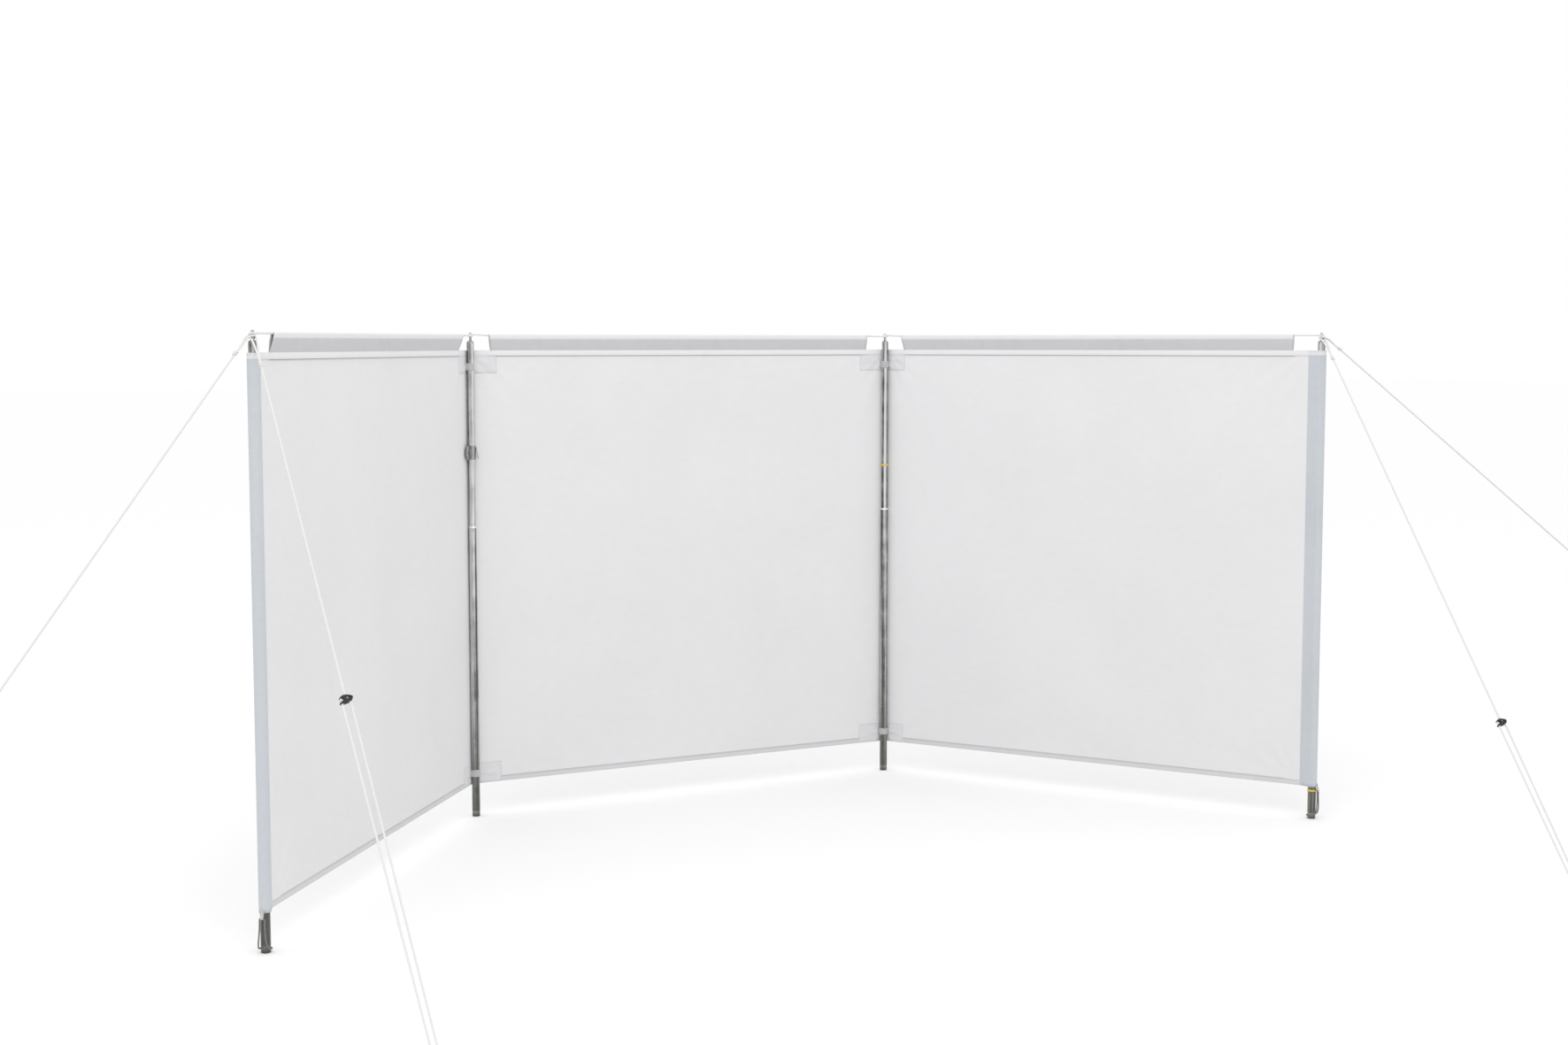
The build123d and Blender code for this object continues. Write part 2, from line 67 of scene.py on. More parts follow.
def skin(name, *shapes):
    """One mesh from several grids of points, with four-sided faces between neighbouring rows and columns.
    A shape is (points, uv, around, along, capped): around joins the last column to the first, along joins
    the last row to the first, and capped closes the two end rows with flat faces."""
    points, loops, starts, cuts = [], [], [], []
    vertex_count = loop_count = 0
    for grid, uv, around, along, capped in shapes:
        rows, columns = grid.shape[:2]
        i, j = np.meshgrid(
            np.arange(rows - (not along)), np.arange(columns - (not around)), indexing="ij"
        )
        corners = [(i, j), (i, j + 1), (i + 1, j + 1), (i + 1, j)]
        quads = np.stack([(a % rows) * columns + b % columns for a, b in corners], axis=-1).reshape(-1)
        cut = np.stack([uv[a, b] for a, b in corners], axis=-2).reshape(-1, 2)
        start = np.arange(0, len(quads), 4)
        if capped:
            ring = np.arange(columns)
            start = np.append(start, [len(quads), len(quads) + columns])
            quads = np.concatenate([quads, ring[::-1], (rows - 1) * columns + ring])
            cut = np.concatenate([cut, uv[0, ring[::-1]], uv[rows - 1, ring]])
        points.append(grid.reshape(-1, 3))
        loops.append(quads + vertex_count)
        starts.append(start + loop_count)
        cuts.append(cut)
        vertex_count += rows * columns
        loop_count += len(quads)
    points, loops, starts, cuts = (np.concatenate(part) for part in (points, loops, starts, cuts))
    mesh = bpy.data.meshes.new(name)
    mesh.vertices.add(vertex_count)
    mesh.vertices.foreach_set("co", points.ravel())
    mesh.loops.add(loop_count)
    mesh.loops.foreach_set("vertex_index", loops)
    mesh.polygons.add(len(starts))
    mesh.polygons.foreach_set("loop_start", starts)
    mesh.uv_layers.new(name="cut").data.foreach_set("uv", cuts.ravel())
    mesh.polygons.foreach_set("use_smooth", np.ones(len(starts), bool))
    mesh.update(calc_edges=True)
    mesh.set_sharp_from_angle(angle=sharp_angle)
    piece = bpy.data.objects.new(name, mesh)
    bpy.context.scene.collection.objects.link(piece)
    return piece


def run_along(line):
    """Distance along a line of points, with one more value that closes it."""
    steps = np.linalg.norm(np.diff(np.vstack([line, line[:1]]), axis=0), axis=1)
    return np.concatenate([[0], np.cumsum(steps)])


def cut_map(across, up):
    """A cutting map: two distances for every point of a grid."""
    return np.stack(np.broadcast_arrays(across, up), axis=-1)


def lathe(foot, profile, hollow=False, sides=56):
    """A turned shape: each (radius, height) of the profile sweeps a circle about the upright line at foot.
    A hollow profile runs up the outside and down the inside, and is joined end to end."""
    profile = np.asarray(profile, float)
    turn = np.linspace(0, 2 * np.pi, sides + 1)
    radius, height = profile[:, :1], profile[:, 1:]
    ring = [foot[0] + radius * np.cos(turn), foot[1] + radius * np.sin(turn), height + 0 * turn]
    uv = cut_map(turn / (2 * np.pi), run_along(profile)[:, None])
    return np.stack(ring, axis=-1)[:, :-1], uv, True, hollow, not hollow


def node(tree, kind, settings=(), **inputs):
    """Adds a shader node. An input that is another node's output is linked, and any other value is set;
    numbered inputs are written as in0, in1 and so on."""
    made = tree.nodes.new("ShaderNode" + kind)
    for key, value in dict(settings).items():
        setattr(made, key, value)
    for key, value in inputs.items():
        socket = made.inputs[int(key[2:])] if key[:2] == "in" else made.inputs[key.replace("_", " ")]
        if isinstance(value, bpy.types.NodeSocket):
            tree.links.new(value, socket)
        else:
            socket.default_value = value
    return made


def sums(tree, operation, first, second=0.0, third=0.0):
    """The output of one step of arithmetic."""
    return node(tree, "Math", {"operation": operation}, in0=first, in1=second, in2=third).outputs[0]


def ramp(tree, value, *stops):
    """Two colours, each at its own position from 0 to 1, blended in between."""
    made = node(tree, "ValToRGB", Fac=value)
    for element, (position, colour) in zip(made.color_ramp.elements, stops):
        element.position = position
        element.color = (*colour, 1)
    return made.outputs[0]


def spread(tree, value, low, high, at_low, at_high):
    """A value carried from the range low to high over to the range at_low to at_high, and held beyond it."""
    return node(tree, "MapRange", Value=value, in1=low, in2=high, in3=at_low, in4=at_high).outputs[0]


def close_to(tree, value, middle, full, none):
    """1 where a value is close to the middle, falling to 0 between the distances full and none from it."""
    off = sums(tree, "ABSOLUTE", sums(tree, "SUBTRACT", value, middle))
    return spread(tree, off, full, none, 1.0, 0.0)


def blend(tree, share, first, second):
    """One colour that goes over into another as the share goes from 0 to 1."""
    return node(tree, "Mix", {"data_type": "RGBA"}, in0=share, in6=first, in7=second).outputs[2]


def noise(tree, place, detail, scale=1.0, stretch=(), shift=(0, 0, 0), **more):
    """Smooth noise at a place, which may be stretched and shifted first."""
    if stretch:
        place = node(tree, "Mapping", Vector=place, Location=shift, Scale=stretch).outputs[0]
    return node(tree, "TexNoise", Vector=place, Scale=scale, Detail=detail, **more).outputs[0]


def new_finish(name, **constants):
    """A new material, its nodes and its shader, with constant values set on the shader."""
    finish = bpy.data.materials.new(name)
    finish.use_nodes = True
    shader = finish.node_tree.nodes["Principled BSDF"]
    for key, value in constants.items():
        shader.inputs[key.replace("_", " ")].default_value = value
    return finish, finish.node_tree, shader


def surface(tree, shader, colour, worn, height, smooth, rough, strength, depth):
    """Wires a shader: its colour, a roughness that goes from smooth to rough with the worn value, and a
    relief of some strength and depth that follows a height."""
    worn_low, worn_high = 0.3, 0.7
    gloss = spread(tree, worn, worn_low, worn_high, smooth, rough)
    bump = node(tree, "Bump", Strength=strength, Distance=depth, Height=height).outputs[0]
    for socket, value in (("Base Color", colour), ("Roughness", gloss), ("Normal", bump)):
        tree.links.new(value, shader.inputs[socket])


def steel_finish(name, colour, dark, rough, grain, tint_height=0.0, low_tint=(0.07, 0.05, 0.03), painted_highlight=()):
    """Drawn steel: broad upright streaks painted dark and bright into the colour, painted reflections, and
    fine lines, both from noise stretched upright; smudges from broad noise that shift the gloss; and a
    darker, duller tint that rises in patches from the ground to tint_height. A stretch between two heights is
    painted bright all round, a painted highlight."""
    finish, tree, shader = new_finish(name, Metallic=1.0)
    place = node(tree, "TexCoord").outputs["Object"]
    lines = noise(tree, place, detail=4.0, stretch=(620, 620, 9))
    # painted reflections: broad upright streaks that set the colour between dark and bright
    painted_streaks = noise(tree, place, detail=1.5, stretch=(120, 120, 0.8), shift=(7.4, 2.6, 0))
    smudge = noise(tree, place, detail=4.0, scale=17.0)
    line_share, smudge_share, painted_streak_share = 0.16, 0.22, 0.62
    tone = sums(tree, "MULTIPLY_ADD", lines, line_share, sums(tree, "MULTIPLY", smudge, smudge_share))
    tone = sums(tree, "MULTIPLY_ADD", painted_streaks, painted_streak_share, tone)
    bare = ramp(tree, tone, (0.42, dark), (0.57, colour))
    height = node(tree, "SeparateXYZ", Vector=place).outputs[2]
    # painted highlight: a band all round between two heights is painted near white
    if painted_highlight:
        low, high = painted_highlight
        half, fade, highlight_colour = (high - low) / 2, 0.0008, (0.9, 0.9, 0.89, 1)
        bare = blend(tree, close_to(tree, height, (low + high) / 2, half - fade, half), bare, highlight_colour)
    # darker, duller and less metallic in patches from the ground up to tint_height
    if tint_height:
        patchy_from, cover = 0.3, 0.85
        patchy = sums(tree, "MULTIPLY_ADD", smudge, tint_height, -patchy_from * tint_height)
        tinted = spread(tree, sums(tree, "SUBTRACT", height, patchy), 0.0, tint_height, cover, 0.0)
        bare = blend(tree, tinted, bare, (*low_tint, 1))
        tree.links.new(sums(tree, "SUBTRACT", 1.0, tinted), shader.inputs["Metallic"])
    surface(tree, shader, bare, tone, lines, rough * 0.7, rough * 1.45, strength=grain, depth=0.0004)
    return finish


def fit(piece, finish, slot_name, *nodes):
    """Gives a piece its finish and its place in the frame. slot_name is not used."""
    piece.data.materials.clear()
    piece.data.materials.append(finish)
    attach(piece, "root")
    if nodes:
        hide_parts(*nodes)


def middle_of(name):
    """The middle of a node's box."""
    low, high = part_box(name)
    return (np.array(low) + np.array(high)) / 2


pole_names = ("left_end", "left_inner", "right_inner", "right_end")
feet = {pole: middle_of(f"{pole}_ground_spike")[:2] for pole in pole_names}
# the core is the small flat that closes a turned end
core, spike_radius, plug_radius, tube_foot, plug_head = 0.0004, 0.012, 0.011, 0.018, 0.068
spike_profile = [
    (core, 0), (spike_radius - 0.0008, 0), (spike_radius, 0.0012), (spike_radius, tube_foot - 0.0006),
    (spike_radius - 0.0006, tube_foot), (plug_radius, tube_foot), (plug_radius, plug_head - 0.0005),
    (plug_radius - 0.0005, plug_head), (core, plug_head),
]
spike_colours = (0.34, 0.345, 0.33), (0.17, 0.175, 0.165)
spike_steel = steel_finish("spike_steel", *spike_colours, rough=0.36, grain=0.25, tint_height=0.012)
for pole, foot in feet.items():
    spike = skin(f"{pole}_spike", lathe(foot, spike_profile))
    fit(spike, spike_steel, "spike_steel", f"{pole}_ground_spike")


# Pole tubes: bright drawn steel in two lengths, the thin upper tube sliding into the wide lower one.
# The lower tube's mouth is rolled into a bead, and the cut ends are eased.
def eased(corners, ease, closed=False, steps=6):
    """A drawn line with its corners rounded: each corner becomes a parabola from the point at the distance
    ease before it to the point at the same distance after it, or at most just short of half a side away. An
    open line keeps its two ends."""
    corners, most = np.asarray(corners, float), 0.48
    before, after = np.roll(corners, 1, 0) - corners, np.roll(corners, -1, 0) - corners
    start = corners + before * np.minimum(ease / np.linalg.norm(before, axis=1, keepdims=True), most)
    end = corners + after * np.minimum(ease / np.linalg.norm(after, axis=1, keepdims=True), most)
    t = np.linspace(0, 1, steps)[:, None, None]
    curve = ((1 - t) ** 2 * start + 2 * t * (1 - t) * corners + t**2 * end).swapaxes(0, 1)
    if closed:
        return curve.reshape(-1, corners.shape[1])
    inner = curve[1:-1].reshape(-1, corners.shape[1])
    return np.concatenate([corners[:1], inner, corners[-1:]])


def tube_wall(bore, radius, low, high):
    """The section of a plain tube, up its outside and down its inside."""
    return [(bore, low), (radius, low), (radius, high), (bore, high)]


lower_bore, lower_radius, bead_radius, bead_foot, mouth = 0.0113, 0.0125, 0.0135, 0.9035, 0.91
upper_bore, upper_radius, upper_foot, upper_head = 0.010, 0.011, 0.760, 1.472
lower_wall = [
    (lower_bore, tube_foot), (lower_radius, tube_foot), (lower_radius, bead_foot),
    (bead_radius - 0.0003, bead_foot + 0.0015), (bead_radius, bead_foot + 0.004),
    (bead_radius - 0.0003, mouth), (0.0121, mouth), (lower_bore, mouth - 0.0015),
]
upper_wall = tube_wall(upper_bore, upper_radius, upper_foot, upper_head)
# the bright and the dark ends of the painted reflection streaks on the poles
pole_colours = (0.66, 0.67, 0.66), (0.105, 0.11, 0.105)
pole_steel = steel_finish("pole_steel", *pole_colours, rough=0.17, grain=0.1)
# the lower tube turns darker, olive and less metallic from the ground up to 0.26 m
foot_steel = steel_finish(
    "foot_steel", *pole_colours, rough=0.17, grain=0.1, tint_height=0.26, low_tint=(0.075, 0.085, 0.065),
    # painted highlight: the rolled bead at the mouth is painted bright all round
    painted_highlight=(bead_foot, mouth + 0.0015),
)
tubes = (("lower", lower_wall, 0.0005, foot_steel), ("upper", upper_wall, 0.0003, pole_steel))
for pole, foot in feet.items():
    for length, wall, ease, steel in tubes:
        wall = eased(wall, ease, closed=True, steps=4)
        tube = skin(f"{pole}_{length}_pole", lathe(foot, wall, hollow=True))
        fit(tube, steel, "pole_steel", f"{pole}_{length}_tube")


# Pole tips: turned steel plugs with a domed cap, drawn up into the pin that carries the ropes.
# The plug is pressed into the upper tube.
tip_steel = steel_finish("tip_steel", (0.55, 0.55, 0.54), (0.20, 0.20, 0.195), rough=0.17, grain=0.08)
pin_radius, plug_foot, dome_foot, dome_rise, pin_top = 0.004, 1.442, 1.474, 0.006, 1.504
plug_fit, cap_rim = 0.0097, upper_radius - 0.0002
swing = np.linspace(0, np.pi / 2, 12)
dome = [pin_radius + (upper_radius - pin_radius) * np.cos(swing), dome_foot + dome_rise * np.sin(swing)]
tip_outline = np.concatenate([
    [(core, plug_foot), (plug_fit - 0.0002, plug_foot), (plug_fit, plug_foot + 0.0004)],
    [(plug_fit, upper_head), (cap_rim, upper_head), (upper_radius, upper_head + 0.0002)],
    np.stack(dome, axis=-1),
    [(pin_radius, dome_foot + dome_rise + 0.0005), (pin_radius, pin_top - 0.001)],
    [(pin_radius - 0.0003, pin_top - 0.0003), (pin_radius - 0.001, pin_top), (core, pin_top)],
])
for pole, foot in feet.items():
    tip = skin(f"{pole}_tip", lathe(foot, tip_outline))
    fit(tip, tip_steel, "tip_steel", f"{pole}_pole_tip")


# Marker rings: yellow plastic bands pushed over two of the tubes.
# Each is a short moulded hoop with rounded edges.
def plastic_finish(name, colour, pale, rough):
    """Moulded plastic: a fine speckle in the colour, and a fine pebble in the gloss and the relief."""
    finish, tree, shader = new_finish(name)
    place = node(tree, "TexCoord").outputs["Object"]
    broad = noise(tree, place, detail=4.0, scale=120.0)
    pebble = noise(tree, place, detail=2.0, scale=1400.0)
    speckle = ramp(tree, broad, (0.3, colour), (0.75, pale))
    surface(tree, shader, speckle, broad, pebble, rough * 0.8, rough * 1.25, strength=0.25, depth=0.0002)
    return finish


marker_plastic = plastic_finish("marker_plastic", (0.78, 0.50, 0.03), (0.86, 0.60, 0.07), rough=0.4)
ring_clear, ring_thick = 0.0003, 0.0012
for pole, tube_radius in (("right_inner", upper_radius), ("right_end", lower_radius)):
    low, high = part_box(f"{pole}_marker_ring")
    bore = tube_radius + ring_clear
    wall = eased(tube_wall(bore, bore + ring_thick, low[2], high[2]), 0.0005, closed=True)
    marker = skin(f"{pole}_marker", lathe(feet[pole], wall, hollow=True))
    fit(marker, marker_plastic, "marker_plastic", f"{pole}_marker_ring")


# Pole clip: a plated steel clip on the left inner pole.
# A collar grips the tube, with a barrel grip on one side and a tongue that springs away on the other.
def unit(vectors):
    """Vectors brought to the length 1."""
    return vectors / np.linalg.norm(vectors, axis=-1, keepdims=True)


def toward(bearing):
    """A level direction from its bearing in degrees, counted from +X towards +Y."""
    return np.array([np.cos(np.radians(bearing)), np.sin(np.radians(bearing)), 0])


def quarter_turn(direction):
    """A level direction turned a quarter to its left."""
    return np.array([-direction[1], direction[0], 0])


def bar_along(path, aside, wide, thick):
    """A flat bar with rounded edges: an oblong with eased corners, carried along a path, wide to both sides
    along aside and thick square to it."""
    proud = unit(np.cross(np.gradient(path, axis=0), aside))
    oblong = np.array([(-wide, -thick), (wide, -thick), (wide, thick), (-wide, thick)]) / 2
    section = eased(oblong, thick * 0.35, closed=True, steps=4)
    points = path[:, None] + section[:, :1] * aside + section[:, 1:] * proud[:, None]
    uv = cut_map(run_along(section)[None, :], run_along(path)[:-1, None])
    return points, uv, True, False, True


clip_steel = steel_finish("clip_steel", (0.42, 0.425, 0.42), (0.13, 0.133, 0.13), rough=0.24, grain=0.15)
(_, _, clip_foot), (_, _, clip_head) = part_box("pole_clip")
clip_axis = feet["left_inner"]
upright = np.array([0.0, 0.0, 1.0])
collar_radius, grip_reach, grip_end, grip_belly = 0.0128, 0.02205, 0.0045, 0.010
tongue_wide, tongue_thick = 0.012, 0.0015
grip_bearing, tongue_bearing = -138.0, -28.0
collar_wall = tube_wall(upper_radius + ring_clear, collar_radius, clip_foot, clip_head)
grip_axis = clip_axis + grip_reach * toward(grip_bearing)[:2]
grip_swell = [(core, 0), (grip_end, 0), (grip_belly, 0.36), (grip_belly, 0.6), (grip_end, 1), (core, 1)]
grip_swell = np.array(grip_swell) * (1, clip_head - clip_foot) + (0, clip_foot)
tongue_out = toward(tongue_bearing)
tongue_bend = [(0.0127, -0.0035), (0.0139, -0.009), (0.0163, -0.022), (0.0192, -0.035), (0.0210, -0.0408)]
tongue_bend = eased(tongue_bend, 0.006, steps=5)
tongue_path = tongue_bend[:, :1] * tongue_out + tongue_bend[:, 1:] * upright + (*clip_axis, clip_head)
clip = skin(
    "clip",
    lathe(clip_axis, eased(collar_wall, 0.0006, closed=True), hollow=True),
    lathe(grip_axis, eased(grip_swell, 0.005, steps=9), sides=40),
    bar_along(tongue_path, quarter_turn(tongue_out), tongue_wide, tongue_thick),
)
fit(clip, clip_steel, "clip_steel", "pole_clip")


# Screen: one length of thin white proofed cloth, stretched in three bays between the poles.
# It turns round the back of the two inner poles, and both long edges are folded over and sewn.
def cloth_finish(
    name, colour, shade, rows=(), columns=(), edges=(), soft=0.62, gaps=(), pale=(), thread=0.62, relief=0.35
):
    """Plain woven cloth on a cutting map in metres: crossed sine waves for the yarns, their dips painted a
    little darker as painted shade, and soft mottling. rows and columns are stitch rows, thin lines cut into
    dashes by a sawtooth along them. edges are (rows, columns) along which a thin soft shade is painted at a
    fold or a cut edge, but for the gaps, which are stretches of columns. pale is a stretch of rows painted a
    lighter colour of its own, a painted light."""
    finish, tree, shader = new_finish(name, Sheen_Weight=0.12, Sheen_Roughness=0.5, Specular_IOR_Level=0.28)
    place = node(tree, "TexCoord").outputs
    across, up, _ = node(tree, "SeparateXYZ", Vector=place["UV"]).outputs

    def stretch_of(line, start, end, fade):
        """1 on a stretch of the map, with a fade to 0 about its two ends."""
        half = (end - start) / 2
        return close_to(tree, line, (start + end) / 2, half - fade, half + fade)

    def strongest(values):
        """The largest of several values."""
        most = values[0]
        for value in values[1:]:
            most = sums(tree, "MAXIMUM", most, value)
        return most

    yarn_pitch, stitch_length, pale_fade, gap_fade = 0.0011, 0.0042, 0.003, 0.008
    edge_wide, edge_fade, stitch_wide, stitch_fade = 0.0003, 0.0021, 0.0004, 0.0008
    yarn_share, mottle_share, slub_share, cloud_share = 0.05, 0.7, 0.3, 0.35
    yarns = [sums(tree, "MULTIPLY", line, 2 * np.pi / yarn_pitch) for line in (across, up)]
    yarn = sums(tree, "MULTIPLY", *[sums(tree, "SINE", line) for line in yarns])
    mottle = noise(tree, place["Object"], detail=6.0, scale=2.6, Roughness=0.62)
    slub = noise(tree, place["UV"], detail=2.0, stretch=(16, 700, 1))
    clouds = noise(tree, place["UV"], detail=3.0, stretch=(32, 48, 1))
    # the yarn dips are painted a little darker than the crossings: painted shade
    tone = sums(tree, "MULTIPLY_ADD", yarn, yarn_share, sums(tree, "MULTIPLY", mottle, mottle_share))
    tone = sums(tree, "MULTIPLY_ADD", slub, slub_share, tone)
    tone = sums(tree, "MULTIPLY_ADD", sums(tree, "SUBTRACT", clouds, 0.5), cloud_share, tone)
    dyed = ramp(tree, tone, (0.3, shade), (0.68, colour))
    height = sums(tree, "MULTIPLY_ADD", yarn, 0.12, sums(tree, "MULTIPLY", slub, 0.25))
    # painted light: a stretch of rows painted a lighter colour
    if pale:
        start, end, light = pale
        dyed = blend(tree, stretch_of(up, start, end, pale_fade), dyed, (*light, 1))
    # painted shade: thin soft dark lines along the given rows and columns, left out in the gaps
    if edges:
        shaded = [(up, offset) for offset in edges[0]] + [(across, offset) for offset in edges[1]]
        line = strongest([close_to(tree, line, offset, edge_wide, edge_fade) for line, offset in shaded])
        line = sums(tree, "MULTIPLY", line, soft)
        if gaps:
            bare = strongest([stretch_of(across, start, end, gap_fade) for start, end in gaps])
            line = sums(tree, "MULTIPLY", line, sums(tree, "SUBTRACT", 1.0, bare))
        # the lines are painted in a darker copy of the shade colour
        dyed = blend(tree, line, dyed, (shade[0] * 0.5, shade[1] * 0.5, shade[2] * 0.52, 1))
        height = sums(tree, "SUBTRACT", height, line)
    if rows or columns:
        sewn = []
        for offset, line, other in [(o, up, across) for o in rows] + [(o, across, up) for o in columns]:
            dash = sums(tree, "PINGPONG", sums(tree, "MULTIPLY", other, 1 / stitch_length), 0.5)
            dash = spread(tree, dash, 0.06, 0.14, 0.0, 1.0)
            sewn.append(sums(tree, "MULTIPLY", close_to(tree, line, offset, stitch_wide, stitch_fade), dash))
        stitches = strongest(sewn)
        dyed = blend(tree, stitches, dyed, (thread, thread, thread * 1.02, 1))
        height = sums(tree, "ADD", height, stitches)
    surface(tree, shader, dyed, tone, height, smooth=0.62, rough=0.78, strength=relief, depth=0.0006)
    return finish


def thicken(piece, thickness):
    """Gives a sheet its thickness, half to each side."""
    solid = piece.modifiers.new("cloth", "SOLIDIFY")
    solid.thickness = thickness
    solid.offset = 0.0


def open_sheet(points, uv):
    """A shape with four free edges."""
    return points, uv, False, False, False


bay, seam, set_back = 1.5, 0.037, 0.0141
cloth_foot, cloth_head = 0.100, 1.450
# a fold is eased over a short way to both sides, and that cuts its corner
fold_ease, fold_cut = 0.012, 0.002
left_turn, right_turn = np.radians(50.7), np.radians(58.6)
left_back = np.array([-np.sin(left_turn / 2), np.cos(left_turn / 2)])
right_back = np.array([np.sin(right_turn / 2), np.cos(right_turn / 2)])
left_fold = feet["left_inner"] + left_back * set_back / np.cos(left_turn / 2)
right_fold = feet["right_inner"] + right_back * set_back / np.cos(right_turn / 2)
left_heading, right_heading = unit(feet["left_end"] - left_fold), unit(feet["right_end"] - right_fold)
left_edge, right_edge = feet["left_end"] - left_heading * seam, feet["right_end"] - right_heading * seam
screen_line = eased([left_edge, left_fold, right_fold, right_edge], fold_ease)
screen_run = run_along(screen_line)[:-1]
folds_at = np.array([bay - seam, 2 * bay - seam]) - fold_cut
knots = np.array([0, *folds_at, screen_run[-1]])


def screen_plan(run):
    """Plan position and inward direction at a distance along the screen, read off its line."""
    step = 0.003
    (x, y), ahead, behind = (
        np.stack([np.interp(at, screen_run, screen_line[:, k]) for k in (0, 1)])
        for at in (run, run + step, run - step)
    )
    tangent = (ahead - behind) / np.linalg.norm(ahead - behind, axis=0)
    return x, y, tangent[1], -tangent[0]


def fade_in(value, over):
    """0 up to nothing, rising evenly to 1 over a distance."""
    return np.clip(value / over, 0, 1)


def ripple(run, length, phase=0.0):
    """A sine wave of some length along a run."""
    return np.sin(run * 2 * np.pi / length + phase)


def screen_wave(run, height):
    """How far the cloth stands in from its flat plane: a slow belly in each bay, pulls that fan out from the
    corners of each bay and die away, short puckers beside the two long seams, and long slack waves.
    Everything fades out at the poles and at the seams."""
    bellies, pull, pucker, slack = np.array([-0.007, -0.010, -0.008]), 0.0016, 0.0004, 0.0022
    near_edge, seam_flat, pull_fade = 0.05, 0.012, 0.17
    which = np.clip(np.searchsorted(knots, run, side="right") - 1, 0, 2)
    width = np.diff(knots)[which]
    across = (run - knots[which]) / width
    up = np.clip((height - cloth_foot) / (cloth_head - cloth_foot), 0, 1)
    hold = fade_in(np.minimum(across, 1 - across) * width, near_edge) ** 2
    seam_off = np.clip(np.minimum(height - cloth_foot, cloth_head - height), 0, None)
    calm = fade_in(seam_off - seam_flat, near_edge)
    wave = bellies[which] * np.sin(np.pi * across) * np.sin(np.pi * up) ** 0.8
    for side, end, count, phase in ((0, 0, 9, 0.4), (1, 0, 11, 1.3), (0, 1, 10, 2.1), (1, 1, 9, 0.9)):
        dx, dz = (across - side) * width, height - (cloth_foot + end * (cloth_head - cloth_foot))
        reach = np.hypot(dx, dz)
        fan = np.cos(count * np.arctan2(np.abs(dz), np.abs(dx) + 1e-6) * 1.6 + phase + which)
        wave = wave + pull * calm * fan * np.exp(-reach / pull_fade) * fade_in(reach, near_edge)
    short = ripple(run, 0.043) + 0.7 * ripple(run, 0.029, 1.1) + 0.8 * ripple(run, 0.097, 2)
    wave = wave + pucker * short * calm * np.exp(-seam_off / near_edge)
    loose = np.sin(2 * np.pi * (across * 2.3 + up * 0.9) + which)
    loose = loose * np.sin(2 * np.pi * (up * 1.1 - across * 0.6) + 0.6)
    wave = wave + slack * calm * loose * np.sin(np.pi * across)
    return wave * hold


def on_screen(run, height, proud):
    """Points on the cloth at distances along it and heights, standing proud of its middle on the inside."""
    x, y, inward_x, inward_y = screen_plan(run)
    out = proud + screen_wave(run, height)
    return np.stack([x + inward_x * out, y + inward_y * out, height], axis=-1)


def closer_at_ends(count, share):
    """Places from 0 to 1, even but for a share that a cosine draws towards both ends."""
    even = np.linspace(0, 1, count)
    return (1 - share) * even + share * (0.5 - 0.5 * np.cos(np.pi * even))


bays = [knots[k] + (knots[k + 1] - knots[k]) * closer_at_ends(140, 0.45) for k in range(3)]
screen_runs = np.unique(np.concatenate(bays + [screen_run]))
screen_heights = cloth_foot + (cloth_head - cloth_foot) * closer_at_ends(96, 0.5)
runs, heights = np.meshgrid(screen_runs, screen_heights, indexing="xy")
lip_depth, hem_depth, seam_gap = 0.0165, 0.0150, 0.001
# the stretches of its run where no rope sleeve stands above the screen
windows = ((-0.02, 0.051), (1.385, 1.539), (2.887, 3.037), (4.376, 4.45))
# heights of the thin painted shades on the screen, just above the bottom hem and just under the top lip
painted_shade_lines = (hem_depth + seam_gap, cloth_head - cloth_foot - lip_depth - seam_gap)
screen_cloth = cloth_finish(
    "screen_cloth", (0.866, 0.858, 0.872), (0.826, 0.818, 0.832), edges=(painted_shade_lines, ()), gaps=windows,
    relief=0.2,
)
screen_map = np.stack([runs, heights - cloth_foot], axis=-1)
screen = skin("screen", open_sheet(on_screen(runs, heights, 0.0), screen_map))
thicken(screen, 0.0006)
fit(screen, screen_cloth, "screen_cloth", "left_bay_cloth", "middle_bay_cloth", "right_bay_cloth")

# painted greyer than the screen as shade for the doubled hem, with a thin painted shade along its upper fold
hem_cloth = cloth_finish(
    "hem_cloth", (0.74, 0.745, 0.768), (0.69, 0.695, 0.718), rows=(0.0035,), edges=((0.0,), ())
)
# a thin painted shade along the lip's lower edge, left out in the windows
lip_cloth = cloth_finish(
    "lip_cloth", (0.866, 0.858, 0.872), (0.83, 0.822, 0.836), rows=(0.0045,), edges=((0.0,), ()),
    gaps=windows, thread=0.77,
)
hem_section = np.array([
    (hem_depth, 0.0010), (0.0080, 0.0010), (0.0012, 0.0010), (-0.0006, 0.0004), (-0.0006, -0.0004),
    (0.0012, -0.0010), (0.0080, -0.0010), (hem_depth, -0.0010), (hem_depth, -0.0004), (0.0035, -0.0004),
    (0.0035, 0.0004), (hem_depth, 0.0004),
])
lip_section = np.array([
    (-lip_depth, 0.0030), (-0.0160, 0.0036), (-0.0120, 0.0032), (-0.0060, 0.0023), (-0.0008, 0.0019),
    (0.0006, 0.0010), (0.0006, -0.0012), (-0.0008, -0.0019), (-0.0060, -0.0021), (-0.0120, -0.0023),
    (-0.0120, -0.0017), (-0.0060, -0.0015), (-0.0010, -0.0013), (-0.0010, 0.0013), (-0.0060, 0.0017),
    (-0.0120, 0.0026),
])


